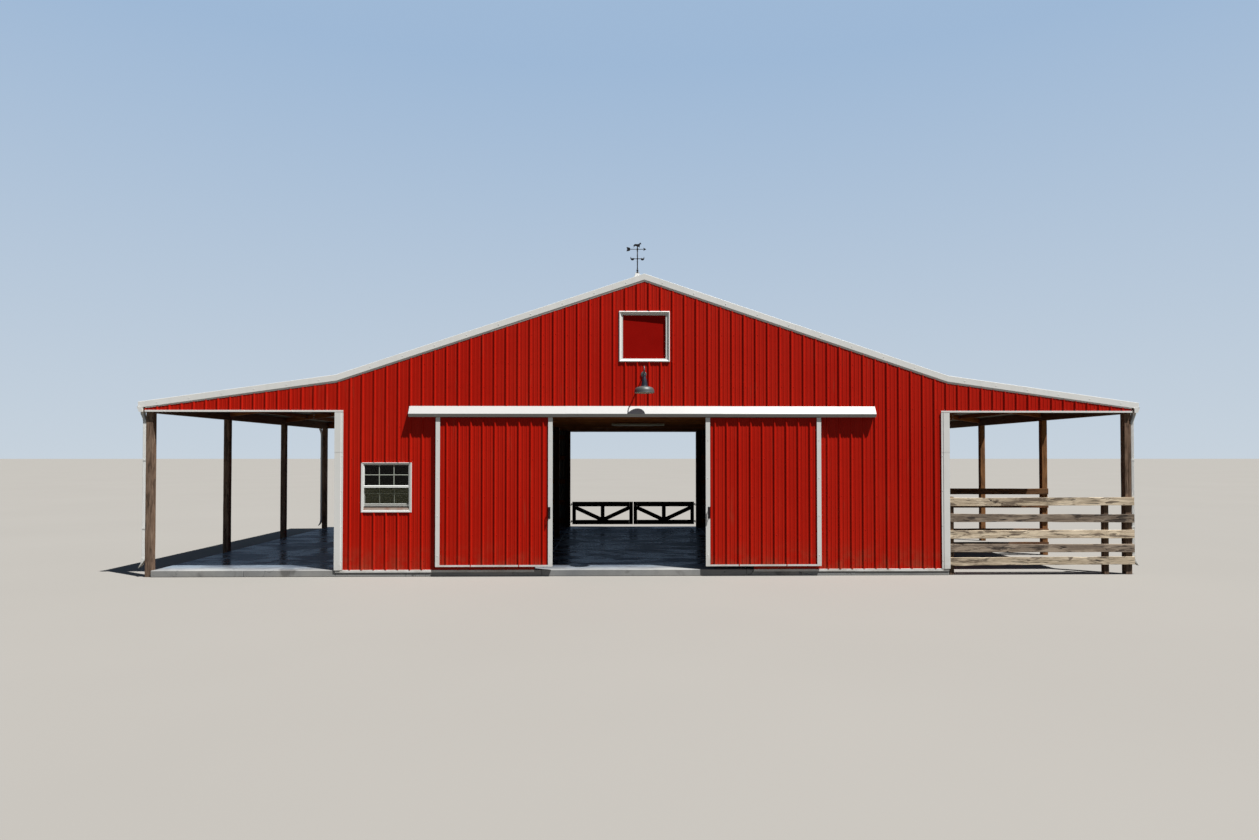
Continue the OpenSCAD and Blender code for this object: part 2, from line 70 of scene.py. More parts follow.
# ------------------------------------------------------------------ meshes
class Solid:
    """Closed shapes gathered into one object, with a tint value for each shape."""

    low = 0.0          # how far the shapes are let down when they are made

    def __init__(self, name, flip=False):
        self.name, self.flip = name, flip
        self.v, self.f, self.m, self.s, self.t = [], [], [], [], []
        self.tint = 0.5

    def add(self, verts, faces, mat=0, smooth=False):
        b = len(self.v)
        if self.flip:
            self.v.extend((-p[0], -p[1], p[2]) for p in verts)
        else:
            self.v.extend((p[0], p[1], p[2]) for p in verts)
        self.t.extend([self.tint] * len(verts))
        mats = mat if isinstance(mat, (list, tuple)) else None
        for i, f in enumerate(faces):
            self.f.append([b + k for k in f])
            self.m.append(mats[i] if mats else mat)
            self.s.append(smooth)

    def make(self, mats, body="root", replaces=(), smooth_angle=None):
        me = bpy.data.meshes.new(self.name)
        me.from_pydata([(x, y, z - Solid.low) for x, y, z in self.v], [], self.f)
        bm = bmesh.new()
        bm.from_mesh(me)
        bmesh.ops.recalc_face_normals(bm, faces=bm.faces)
        bm.to_mesh(me)
        bm.free()
        me.polygons.foreach_set("material_index", self.m)
        me.polygons.foreach_set("use_smooth", self.s)
        a = me.attributes.new("tint", "FLOAT", "POINT")
        a.data.foreach_set("value", self.t)
        for m in mats:
            me.materials.append(m)
        me.update()
        ob = bpy.data.objects.new(self.name, me)
        scene.collection.objects.link(ob)
        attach(ob, body)
        if replaces:
            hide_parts(*replaces)
        return ob


def cbox(S, lo, hi, c=0.003, mat=0):
    """A box with its edges taken off by c."""
    lo, hi = [min(a, b) for a, b in zip(lo, hi)], [max(a, b) for a, b in zip(lo, hi)]
    c = min([c] + [(h - l) * 0.3 for l, h in zip(lo, hi)])
    vs, idx = [], {}
    for sx in (0, 1):
        for sy in (0, 1):
            for sz in (0, 1):
                s = (sx, sy, sz)
                for ax in range(3):
                    p = []
                    for k in range(3):
                        e = hi[k] if s[k] else lo[k]
                        p.append(e if k == ax else e + (-c if s[k] else c))
                    idx[s, ax] = len(vs)
                    vs.append(p)
    fs = []
    for ax in range(3):
        a, b = [k for k in range(3) if k != ax]
        for side in (0, 1):
            q = []
            for u, v in ((0, 0), (1, 0), (1, 1), (0, 1)):
                s = [0, 0, 0]
                s[ax], s[a], s[b] = side, u, v
                q.append(idx[tuple(s), ax])
            fs.append(q)
        for u in (0, 1):          # the edges that run along ax
            for v in (0, 1):
                s0, s1 = [0, 0, 0], [0, 0, 0]
                s0[ax], s0[a], s0[b] = 0, u, v
                s1[ax], s1[a], s1[b] = 1, u, v
                s0, s1 = tuple(s0), tuple(s1)
                fs.append([idx[s0, a], idx[s1, a], idx[s1, b], idx[s0, b]])
    for sx in (0, 1):
        for sy in (0, 1):
            for sz in (0, 1):
                s = (sx, sy, sz)
                fs.append([idx[s, 0], idx[s, 1], idx[s, 2]])
    S.add(vs, fs, mat)


def sweep(S, rings, mat=0, smooth=False, caps=True, loop=False, capmat=None):
    """A skin over rings of the same number of points."""
    n, vs = len(rings[0]), [p for r in rings for p in r]
    fs, ms = [], []
    last = len(rings) if loop else len(rings) - 1
    for i in range(last):
        j = (i + 1) % len(rings)
        for k in range(n):
            l = (k + 1) % n
            fs.append([i * n + k, i * n + l, j * n + l, j * n + k])
            ms.append(mat)
    b = len(S.s)
    if caps and not loop:
        fs.append(list(range(n))[::-1])
        fs.append([(len(rings) - 1) * n + k for k in range(n)])
        ms += [mat if capmat is None else capmat] * 2
    S.add(vs, fs, ms, smooth)
    if caps and not loop and smooth:
        S.s[-1] = S.s[-2] = False


def ribbon(poly, t):
    """A folded strip as an outline: the line poly (2-D) and its copy t to the right of its direction."""
    n, off = len(poly), []
    for i in range(n):
        ds = []
        if i > 0:
            ds.append((poly[i][0] - poly[i - 1][0], poly[i][1] - poly[i - 1][1]))
        if i < n - 1:
            ds.append((poly[i + 1][0] - poly[i][0], poly[i + 1][1] - poly[i][1]))
        nn = []
        for d in ds:
            l = math.hypot(*d)
            nn.append((d[1] / l, -d[0] / l))
        if len(nn) == 1:
            m, k = nn[0], 1.0
        else:
            m = ((nn[0][0] + nn[1][0]) / 2, (nn[0][1] + nn[1][1]) / 2)
            l2 = m[0] ** 2 + m[1] ** 2
            k = 1 / max(l2, 0.15)
        off.append((poly[i][0] + m[0] * t * k, poly[i][1] + m[1] * t * k))
    return list(poly) + off[::-1]


def strip(S, poly, t, stations, place, mat=0):
    """A folded strip swept through the stations; place(a, b, s) turns an outline point and a station into a point."""
    out = ribbon(poly, t)
    n = len(poly)
    rings = [[place(a, b, s) for a, b in out] for s in stations]
    vs = [p for r in rings for p in r]
    m, fs = len(out), []
    for i in range(len(rings) - 1):
        for k in range(m):
            l = (k + 1) % m
            fs.append([i * m + k, i * m + l, (i + 1) * m + l, (i + 1) * m + k])
    for base in (0, (len(rings) - 1) * m):        # each end closed quad by quad
        for k in range(n - 1):
            fs.append([base + k, base + k + 1, base + m - 2 - k, base + m - 1 - k])
    S.add(vs, fs, mat)


def frame_of(d, up):
    d = Vector(d).normalized()
    up = Vector(up)
    side = d.cross(up)
    if side.length < 1e-6:
        side = d.cross(Vector((1, 0, 0)))
    side.normalize()
    return d, side, side.cross(d).normalized()


def timber(S, p0, p1, side, up, w, h, seed, h1=None, c=0.004, warp=0.002, wane=0.0, check=0.0, step=0.35, mat=0, endmat=None):
    """A sawn timber from p0 to p1. side and up span its section, w by h. It wanders by warp, its edges vary by wane, and its faces open in checks up to that depth."""
    p0, p1, side, up = Vector(p0), Vector(p1), Vector(side), Vector(up)
    L = (p1 - p0).length
    n = max(2, int(round(L / step)) + 1)
    rnd = random.Random(seed * 7919 + 13)
    S.tint = rnd.random()
    h1 = h if h1 is None else h1
    q = seed * 3.17
    ph = [rnd.uniform(0, 40) for _ in range(4)]
    mid = [rnd.uniform(-0.2, 0.2) for _ in range(4)]
    rings = []
    for i in range(n):
        u = i / (n - 1)
        s = u * L
        edge = min(1.0, min(s, L - s) / 0.25 + 0.15)
        hh = h + (h1 - h) * u
        cx = warp * edge * (noise.noise(Vector((s * 0.9, q, 0.3))) * 1.6)
        cy = warp * edge * (noise.noise(Vector((s * 0.9, q, 7.3))) * 1.6)
        a0 = w / 2 + wane * 0.3 * noise.noise(Vector((s * 2.3, q, 2.0)))
        a1 = w / 2 + wane * 0.3 * noise.noise(Vector((s * 2.3, q, 4.0)))
        b0 = hh / 2 + wane * noise.noise(Vector((s * 2.1, q, 11.0)))
        b1 = hh / 2 + wane * noise.noise(Vector((s * 2.1, q, 13.0)))
        c0 = c * (1 + 0.5 * noise.noise(Vector((s * 5, q, 17.0))))
        pts = [(-a0, -b0 + c0), (-a0 + c0, -b0), (a1 - c0, -b0), (a1, -b0 + c0), (a1, b1 - c0), (a1 - c0, b1), (-a0 + c0, b1), (-a0, b1 - c0)]
        if check:
            k = []
            for f, (pa, pb) in enumerate(((pts[1], pts[2]), (pts[3], pts[4]), (pts[5], pts[6]), (pts[7], pts[0]))):
                d = max(0.0, noise.noise(Vector((s * 1.1 + ph[f], q, 23.0 + f)))) * 2.2
                d = min(1.0, d) * check * min(1.0, edge)
                m = 0.5 + mid[f] + 0.10 * noise.noise(Vector((s * 0.7, q, 29.0 + f)))
                wd = 0.0025 + d * 0.30
                l = math.hypot(pb[0] - pa[0], pb[1] - pa[1])
                tx, ty = (pb[0] - pa[0]) / l, (pb[1] - pa[1]) / l
                nx, ny = ty, -tx
                cx0, cy0 = pa[0] + tx * l * m, pa[1] + ty * l * m
                k.append([(cx0 - tx * wd, cy0 - ty * wd), (cx0 - nx * (d + 0.0004), cy0 - ny * (d + 0.0004)), (cx0 + tx * wd, cy0 + ty * wd)])
            pts = [pts[0], pts[1]] + k[0] + [pts[2], pts[3]] + k[1] + [pts[4], pts[5]] + k[2] + [pts[6], pts[7]] + k[3]
        cen = p0 + (p1 - p0) * u + side * cx + up * cy
        rings.append([cen + side * a + up * b for a, b in pts])
    sweep(S, rings, mat, capmat=endmat)


def rod(S, p0, p1, r, seg=12, mat=0, r1=None, bevel=0.0, smooth=True):
    """A round bar, its ends taken off by bevel."""
    p0, p1 = Vector(p0), Vector(p1)
    d, a, b = frame_of(p1 - p0, (0, 0, 1) if abs((p1 - p0).normalized().z) < 0.9 else (1, 0, 0))
    r1 = r if r1 is None else r1
    st = [(p0, r), (p1, r1)] if not bevel else [(p0, r - bevel), (p0 + d * bevel, r), (p1 - d * bevel, r1), (p1, r1 - bevel)]
    rings = [[c + (a * math.cos(2 * math.pi * k / seg) + b * math.sin(2 * math.pi * k / seg)) * rr for k in range(seg)] for c, rr in st]
    sweep(S, rings, mat, smooth)


def tube(S, path, r, seg=16, mat=0):
    """A round tube along a path of points, with mitred rings."""
    P = [Vector(p) for p in path]
    rings, up = [], None
    for i, p in enumerate(P):
        d = (P[min(i + 1, len(P) - 1)] - P[max(i - 1, 0)]).normalized()
        if up is None:
            up = frame_of(d, (1, 0, 0))[2]
        side = d.cross(up).normalized()
        up = side.cross(d).normalized()
        rings.append([p + (side * math.cos(2 * math.pi * k / seg) + up * math.sin(2 * math.pi * k / seg)) * r for k in range(seg)])
    sweep(S, rings, mat, True)


def lathe(S, prof, centre, seg=48, mat=0, mats=None):
    """prof is a closed outline of (radius, height); a point at radius 0 becomes one vertex."""
    vs, rows = [], []
    for r, z in prof:
        if r < 1e-6:
            rows.append([len(vs)])
            vs.append((centre[0], centre[1], centre[2] + z))
        else:
            rows.append(list(range(len(vs), len(vs) + seg)))
            vs += [(centre[0] + r * math.cos(2 * math.pi * k / seg), centre[1] + r * math.sin(2 * math.pi * k / seg), centre[2] + z) for k in range(seg)]
    fs, ms, n = [], [], len(prof)
    for i in range(n):
        a, b = rows[i], rows[(i + 1) % n]
        if len(a) == 1 and len(b) == 1:
            continue
        for k in range(seg):
            l = (k + 1) % seg
            if len(a) == 1:
                fs.append([a[0], b[l], b[k]])
            elif len(b) == 1:
                fs.append([a[k], a[l], b[0]])
            else:
                fs.append([a[k], a[l], b[l], b[k]])
            ms.append(mats[i] if mats else mat)
    S.add(vs, fs, ms, True)


def ball(S, c, r, seg=16, mat=0, squash=1.0):
    prof = [(r * math.sin(math.pi * i / 10), -r * squash * math.cos(math.pi * i / 10)) for i in range(11)]
    prof[0], prof[-1] = (0, -r * squash), (0, r * squash)
    lathe(S, prof, c, seg, mat)


def screw(S, p, n, r=0.0065, h=0.0055, mat=0):
    """A washer-head sheet screw: a closed six-sided frustum sunk 1 mm into the sheet."""
    n = Vector(n).normalized()
    a = n.orthogonal().normalized()
    b = n.cross(a)
    p = Vector(p)
    v = []
    for d, rr in ((-0.001, r), (h * 0.45, r), (h, r * 0.55)):
        v += [p + n * d + (a * math.cos(k * math.pi / 3) + b * math.sin(k * math.pi / 3)) * rr for k in range(6)]
    f = [[i * 6 + k, i * 6 + (k + 1) % 6, i * 6 + 6 + (k + 1) % 6, i * 6 + 6 + k] for i in range(2) for k in range(6)]
    f += [[5, 4, 3, 2, 1, 0], [12, 13, 14, 15, 16, 17]]
    S.add(v, f, mat)


def bolt(S, p, n, r=0.012, mat=0):
    """A round washer with a domed nut on it."""
    n = Vector(n).normalized()
    a = n.orthogonal().normalized()
    b = n.cross(a)
    p = Vector(p)
    for seg, st in ((12, ((-0.002, r * 1.7), (0.002, r * 1.7))), (6, ((0.001, r), (r * 0.7, r), (r * 0.95, r * 0.6)))):
        rings = [[p + n * d + (a * math.cos(2 * math.pi * k / seg) + b * math.sin(2 * math.pi * k / seg)) * rr for k in range(seg)] for d, rr in st]
        sweep(S, rings, mat)


def plate(S, pts, y0, y1, mat=0, bev=0.0):
    """An upright plate: outline in X and Z, between two Y values, its front and rear edges taken off by bev."""
    n = len(pts)
    if bev:
        area = sum(pts[i][0] * pts[(i + 1) % n][1] - pts[(i + 1) % n][0] * pts[i][1] for i in range(n))
        sg = 1 if area > 0 else -1
        ins = []
        for i in range(n):
            a, b, c = pts[i - 1], pts[i], pts[(i + 1) % n]
            d1, d2 = Vector((b[0] - a[0], b[1] - a[1])).normalized(), Vector((c[0] - b[0], c[1] - b[1])).normalized()
            m = Vector((-(d1.y + d2.y), d1.x + d2.x)) * sg
            m = m.normalized() * bev if m.length > 1e-6 else Vector((0, 0))
            ins.append((b[0] + m.x, b[1] + m.y))
        st = ((ins, y0), (pts, y0 + bev), (pts, y1 - bev), (ins, y1))
    else:
        st = ((pts, y0), (pts, y1))
    sweep(S, [[(x, y, z) for x, z in q] for q, y in st], mat)


# ------------------------------------------------------------------ ribbed steel sheet
RIB = 0.0195
PROFILE = [(-0.0245, 0.0), (-0.0112, 0.0174), (-0.0086, RIB), (0.0086, RIB), (0.0112, 0.0174), (0.0245, 0.0),
           (0.0640, 0.0), (0.0705, 0.0038), (0.0815, 0.0038), (0.0880, 0.0),
           (0.1406, 0.0), (0.1471, 0.0038), (0.1581, 0.0038), (0.1646, 0.0)]


def sheets(S, u0, u1, phase, lo, hi, place, cuts=(), holes=(), lap=4, shift=0, front=0, back=1):
    """Ribbed sheets between u0 and u1, lapped at every lap-th rib. lo(u) and hi(u) are straight between the cuts, and holes are (u0, u1, z0, z1).
    place(u, height, z) gives a point; the height is measured out of the wall. Each sheet is one closed skin."""
    k0, k1 = math.floor((u0 - phase) / PITCH) - 1, math.ceil((u1 - phase) / PITCH) + 1
    pts = [(phase + k * PITCH + a, b) for k in range(k0, k1 + 1) for a, b in PROFILE]

    def height(u):
        x = (u - phase) % PITCH
        if x > PITCH - 0.0245001:
            x -= PITCH
        pr = PROFILE + [(PITCH - 0.0245, 0.0)]
        for (a0, b0), (a1, b1) in zip(pr, pr[1:]):
            if a0 - 1e-9 <= x <= a1 + 1e-9:
                return b0 + (b1 - b0) * (x - a0) / (a1 - a0)
        return 0.0

    laps = [k for k in range(k0, k1 + 1) if (k - shift) % lap == 0]
    edges = [None] + [phase + k * PITCH for k in laps] + [None]
    for ea, eb in zip(edges, edges[1:]):
        a = u0 if ea is None else max(u0, ea - 0.0240)
        b = u1 if eb is None else min(u1, eb + 0.0185)
        if b - a < 0.012:
            continue
        lifted = ea is not None and ea - 0.0240 > u0 + 0.004

        def lift(u):
            if not lifted:
                return 0.0
            return 0.0020 * min(1.0, max(0.0, (ea + 0.040 - u) / 0.012))

        us = sorted({round(x, 6) for x in [a, b] + [p[0] for p in pts] + ([ea + 0.028, ea + 0.040] if lifted else []) + list(cuts) + [h for q in holes for h in q[:2]] if a - 1e-7 <= x <= b + 1e-7})
        us = [u for i, u in enumerate(us) if i == 0 or u - us[i - 1] > 2e-5]
        zs = []
        for u in us:
            s = {round(lo(u), 6), round(hi(u), 6)}
            for q in holes:
                if q[0] - 1e-5 <= u <= q[1] + 1e-5:
                    s |= {round(q[2], 6), round(q[3], 6)}
            s = sorted(z for z in s if lo(u) - 1e-5 <= z <= hi(u) + 1e-5)
            zs.append(s)
        cols = []
        for i in range(len(us) - 1):
            parts = [("lo", "hi")]
            for q in holes:
                if q[0] - 1e-5 <= us[i] and us[i + 1] <= q[1] + 1e-5:
                    new = []
                    for x, y in parts:
                        low = q[2] <= lo(us[i]) + 1e-5
                        if not low:
                            new.append((x, q[2]))
                        if q[3] < hi(us[i]) - 1e-5:
                            new.append((q[3], y))
                    parts = new
            cols.append(parts)
        vs, idx = [], {}

        def vert(i, z, side):
            key = (i, round(z, 5), side)
            if key not in idx:
                idx[key] = len(vs)
                hgt = height(us[i]) + lift(us[i])
                vs.append(place(us[i], hgt - (SKIN if side else 0), z))
            return idx[key]

        def ends(i, part):
            return (lo(us[i]) if part[0] == "lo" else part[0], hi(us[i]) if part[1] == "hi" else part[1])

        fs, ms = [], []
        cover = [[set(), set()] for _ in us]
        for i, parts in enumerate(cols):
            for part in parts:
                (l0, l1), (r0, r1) = ends(i, part), ends(i + 1, part)
                L = [z for z in zs[i] if l0 - 1e-5 <= z <= l1 + 1e-5]
                R = [z for z in zs[i + 1] if r0 - 1e-5 <= z <= r1 + 1e-5]
                for side in (0, 1):
                    f = [vert(i, z, side) for z in L] + [vert(i + 1, z, side) for z in reversed(R)]
                    fs.append(f if side == 0 else f[::-1])
                    ms.append(back if side else front)
                fs.append([vert(i, L[0], 0), vert(i + 1, R[0], 0), vert(i + 1, R[0], 1), vert(i, L[0], 1)])
                fs.append([vert(i, L[-1], 0), vert(i, L[-1], 1), vert(i + 1, R[-1], 1), vert(i + 1, R[-1], 0)])
                ms += [front, front]
                for z0, z1 in zip(L, L[1:]):
                    cover[i][1].add((z0, z1))
                for z0, z1 in zip(R, R[1:]):
                    cover[i + 1][0].add((z0, z1))
        for i in range(len(us)):
            for z0, z1 in cover[i][0] ^ cover[i][1]:
                fs.append([vert(i, z0, 0), vert(i, z1, 0), vert(i, z1, 1), vert(i, z0, 1)])
                ms.append(front)
        S.add(vs, fs, ms)


def rib_lines(u0, u1, phase):
    k = math.ceil((u0 - phase) / PITCH)
    while phase + k * PITCH < u1:
        yield phase + k * PITCH
        k += 1


# ------------------------------------------------------------------ materials
def lin(r, g, b):
    def f(c):
        c /= 255
        return c / 12.92 if c <= 0.04045 else ((c + 0.055) / 1.055) ** 2.4
    return (f(r), f(g), f(b), 1.0)


class Mat:
    """A principled material whose nodes read the object's own coordinates."""

    def __init__(self, name, colour, rough=0.5, metal=0.0, spec=0.5, **more):
        self.m = bpy.data.materials.new(name)
        self.m.use_nodes = True
        self.nt = self.m.node_tree
        self.b = self.nt.nodes["Principled BSDF"]
        self.b.inputs["Base Color"].default_value = colour
        self.b.inputs["Roughness"].default_value = rough
        self.b.inputs["Metallic"].default_value = metal
        self.b.inputs["Specular IOR Level"].default_value = spec
        for k, v in more.items():
            self.b.inputs[k.replace("_", " ")].default_value = v
        self.co = self.node("ShaderNodeTexCoord").outputs["Object"]

    def node(self, kind, **props):
        n = self.nt.nodes.new(kind)
        for k, v in props.items():
            setattr(n, k, v)
        return n

    def put(self, sock, v):
        if isinstance(v, bpy.types.NodeSocket):
            self.nt.links.new(v, sock)
        else:
            sock.default_value = v

    def map(self, scale=(1, 1, 1), vec=None, loc=(0, 0, 0)):
        n = self.node("ShaderNodeMapping")
        self.put(n.inputs["Vector"], self.co if vec is None else vec)
        n.inputs["Scale"].default_value = scale
        n.inputs["Location"].default_value = loc
        return n.outputs[0]

    def noise(self, scale, detail=3.0, rough=0.55, vec=None, dist=0.0):
        n = self.node("ShaderNodeTexNoise")
        self.put(n.inputs["Vector"], self.co if vec is None else vec)
        n.inputs["Scale"].default_value = scale
        n.inputs["Detail"].default_value = detail
        n.inputs["Roughness"].default_value = rough
        n.inputs["Distortion"].default_value = dist
        return n.outputs["Fac"]

    def cells(self, scale, vec=None, out="Distance", feature="F1", rnd=1.0):
        n = self.node("ShaderNodeTexVoronoi", feature=feature)
        self.put(n.inputs["Vector"], self.co if vec is None else vec)
        n.inputs["Scale"].default_value = scale
        n.inputs["Randomness"].default_value = rnd
        return n.outputs[out]

    def ramp(self, fac, stops):
        n = self.node("ShaderNodeValToRGB")
        e = n.color_ramp.elements
        while len(e) < len(stops):
            e.new(0.5)
        for el, (p, c) in zip(e, stops):
            el.position = p
            el.color = c if isinstance(c, tuple) else (c, c, c, 1)
        self.put(n.inputs["Fac"], fac)
        return n.outputs["Color"]

    def rng(self, v, a, b, c=0.0, d=1.0):
        n = self.node("ShaderNodeMapRange", interpolation_type="SMOOTHSTEP")
        self.put(n.inputs["Value"], v)
        for k, x in zip(("From Min", "From Max", "To Min", "To Max"), (a, b, c, d)):
            n.inputs[k].default_value = x
        return n.outputs["Result"]

    def mix(self, fac, a, b, blend="MIX"):
        n = self.node("ShaderNodeMix", data_type="RGBA", blend_type=blend)
        self.put(n.inputs[0], fac)
        self.put(n.inputs[6], a)
        self.put(n.inputs[7], b)
        return n.outputs[2]

    def maths(self, op, a, b=0.0, clamp=False):
        n = self.node("ShaderNodeMath", operation=op, use_clamp=clamp)
        self.put(n.inputs[0], a)
        self.put(n.inputs[1], b)
        return n.outputs[0]

    def vmath(self, op, a, b):
        n = self.node("ShaderNodeVectorMath", operation=op)
        self.put(n.inputs[0], a)
        self.put(n.inputs[1], b)
        return n.outputs[0]

    def xyz(self):
        n = self.node("ShaderNodeSeparateXYZ")
        self.put(n.inputs[0], self.co)
        return n.outputs

    def tint(self):
        return self.node("ShaderNodeAttribute", attribute_name="tint").outputs["Fac"]

    def bump(self, h, dist=0.002, strength=1.0, normal=None):
        n = self.node("ShaderNodeBump")
        n.inputs["Strength"].default_value = strength
        n.inputs["Distance"].default_value = dist
        self.put(n.inputs["Height"], h)
        if normal is not None:
            self.put(n.inputs["Normal"], normal)
        return n.outputs[0]

    def end(self, colour=None, rough=None, normal=None):
        if colour is not None:
            self.put(self.b.inputs["Base Color"], colour)
        if rough is not None:
            self.put(self.b.inputs["Roughness"], rough)
        if normal is not None:
            self.put(self.b.inputs["Normal"], normal)
        return self.m


def painted(name, colour, faded, dirt, rough, spec, dirt_top=0.75, dirt_most=0.35, streak=0.12, bump=0.0012, **more):
    """Factory paint on sheet steel: sheet-to-sheet and patchy tone, thin vertical streaks, splashed dirt near the ground and a faint waviness."""
    M = Mat(name, colour, rough, 0.0, spec, **more)
    patch = M.noise(0.55, 3, 0.5)
    streaks = M.noise(9.0, 4, 0.6, vec=M.map((1.0, 1.0, 0.05)))
    fine = M.noise(70.0, 3, 0.6)
    f = M.maths("ADD", M.maths("MULTIPLY", M.rng(patch, 0.3, 0.7), 0.45), M.maths("MULTIPLY", M.rng(streaks, 0.45, 0.75), streak * 3))
    col = M.mix(M.maths("MULTIPLY", f, 0.8, True), colour, faded)
    z = M.xyz()[2]
    splash = M.maths("MULTIPLY", M.rng(z, dirt_top, 0.10), M.rng(M.noise(3.5, 5, 0.65), 0.38, 0.70))
    run = M.maths("MULTIPLY", M.rng(M.noise(14.0, 3, 0.6, vec=M.map((1, 1, 0.09))), 0.60, 0.78), 0.16)
    d = M.maths("ADD", M.maths("MULTIPLY", splash, dirt_most), run, True)
    col = M.mix(d, col, dirt)
    r = M.maths("ADD", M.maths("MULTIPLY", fine, 0.16), M.maths("ADD", M.maths("MULTIPLY", d, 0.3), rough - 0.08), True)
    n = M.bump(M.noise(2.6, 2, 0.5), bump * 3)
    n = M.bump(fine, 0.00025, 1.0, n)
    return M.end(col, r, n)


def wood(name, axis, light, mid, dark, crack=0.8, knots=0.8, rough=0.82, depth=0.0022, tone=0.35, stain=None, patch=0.0):
    """Sawn timber with its grain along one axis: fibres, checks, knots, and a tone of its own for each piece."""
    M = Mat(name, mid, rough, 0.0, 0.25)
    sc = [1.0, 1.0, 1.0]
    sc[axis] = 0.055
    t = M.tint()
    shift = M.node("ShaderNodeCombineXYZ")
    for i, k in enumerate((17.0, 29.0, 41.0)):
        M.put(shift.inputs[i], M.maths("MULTIPLY", t, k))
    v = M.vmath("ADD", M.map(tuple(sc)), shift.outputs[0])
    broad = M.noise(5.0, 3, 0.5, vec=v)
    fib = M.noise(48.0, 6, 0.68, vec=v, dist=0.6)
    fine = M.noise(190.0, 4, 0.6, vec=v)
    g = M.maths("ADD", M.maths("MULTIPLY", fib, 0.62), M.maths("MULTIPLY", fine, 0.38))
    col = M.ramp(g, [(0.30, dark), (0.46, mid), (0.66, light)])
    col = M.mix(M.rng(broad, 0.35, 0.72, 0.0, 0.55), col, mid if stain is None else stain)
    if patch:
        sp = [1.0, 1.0, 1.0]
        sp[axis] = 0.20
        pv = M.vmath("ADD", M.map(tuple(sp)), shift.outputs[0])
        col = M.mix(M.maths("MULTIPLY", M.rng(M.noise(9.0, 4, 0.62, vec=pv, dist=0.4), 0.50, 0.60), patch * 0.8), col, light)
        col = M.mix(M.maths("MULTIPLY", M.rng(M.noise(13.0, 4, 0.62, vec=pv, dist=0.6), 0.53, 0.63), patch), col, dark)
    hsv = M.node("ShaderNodeHueSaturation")
    M.put(hsv.inputs["Color"], col)
    M.put(hsv.inputs["Value"], M.maths("ADD", M.maths("MULTIPLY", M.maths("SUBTRACT", t, 0.5), tone), 1.0))
    col = hsv.outputs[0]
    ridge = M.maths("ABSOLUTE", M.maths("SUBTRACT", M.noise(15.0, 2, 0.5, vec=v, dist=0.3), 0.5))
    gate = M.rng(M.noise(1.7, 2, 0.5, vec=M.vmath("ADD", M.co, shift.outputs[0])), 0.47, 0.58)
    ck = M.maths("MULTIPLY", M.maths("MULTIPLY", M.rng(ridge, 0.016, 0.004), gate), crack)
    sk = [1.0, 1.0, 1.0]
    sk[axis] = 0.42
    kv = M.vmath("ADD", M.map(tuple(sk)), shift.outputs[0])
    kd = M.cells(2.3, vec=kv)
    kn = M.maths("MULTIPLY", M.rng(kd, 0.085, 0.045), knots)
    col = M.mix(M.maths("MULTIPLY", kn, 0.75), col, dark)
    col = M.mix(ck, col, tuple(c * 0.35 for c in dark[:3]) + (1,))
    h = M.maths("SUBTRACT", M.maths("ADD", g, M.maths("MULTIPLY", kn, 0.3)), M.maths("MULTIPLY", ck, 1.4))
    return M.end(col, M.maths("ADD", M.maths("MULTIPLY", g, 0.12), rough - 0.06, True), M.bump(h, depth))


RED = painted("red_siding", (0.44, 0.0085, 0.0020, 1), (0.50, 0.016, 0.005, 1), lin(128, 88, 62), 0.45, 0.12)
RED_BACK = painted("siding_back", lin(118, 112, 104), lin(138, 132, 124), lin(84, 76, 66), 0.6, 0.2, dirt_most=0.5)
WHITE = painted("white_trim", (0.80, 0.81, 0.795, 1), (0.72, 0.735, 0.72, 1), lin(150, 138, 118), 0.40, 0.35, dirt_top=0.5, dirt_most=0.42, streak=0.10, bump=0.0008)
# the cover's white is drawn much darker than the other trims to hold down the strong sun on its sloping face: painted
# shade
COVER_WHITE_DIMMED = painted("cover_white_dimmed", (0.48, 0.485, 0.48, 1), (0.44, 0.45, 0.445, 1), lin(150, 138, 118), 0.42, 0.30, dirt_top=0.5, dirt_most=0.3, streak=0.08, bump=0.0008)
RAKE = painted("rake_trim", (0.86, 0.87, 0.855, 1), (0.76, 0.775, 0.755, 1), lin(140, 134, 120), 0.42, 0.35, dirt_most=0.2, streak=0.16, bump=0.0008)
ROOF = painted("roof_sheet", (0.335, 0.345, 0.35, 1), (0.285, 0.29, 0.29, 1), lin(120, 112, 98), 0.45, 0.3, dirt_most=0.3, streak=0.3, bump=0.0012)
CAP = painted("cupola_roof", (0.62, 0.63, 0.62, 1), (0.54, 0.55, 0.54, 1), lin(120, 116, 106), 0.38, 0.4, dirt_most=0.2, streak=0.2, bump=0.0012)
SOFFIT = painted("roof_underside", lin(150, 146, 138), lin(128, 124, 116), lin(96, 84, 70), 0.55, 0.25, dirt_most=0.3)
HATCH_W = painted("hatch_white", (0.74, 0.75, 0.74, 1), (0.66, 0.68, 0.66, 1), lin(150, 142, 124), 0.45, 0.25, dirt_most=0.2, streak=0.10, bump=0.0008)
HATCH = painted("hatch_red", (0.30, 0.0045, 0.0028, 1), (0.34, 0.009, 0.005, 1), lin(96, 20, 14), 0.5, 0.02, dirt_most=0.2, streak=0.05, bump=0.0012)
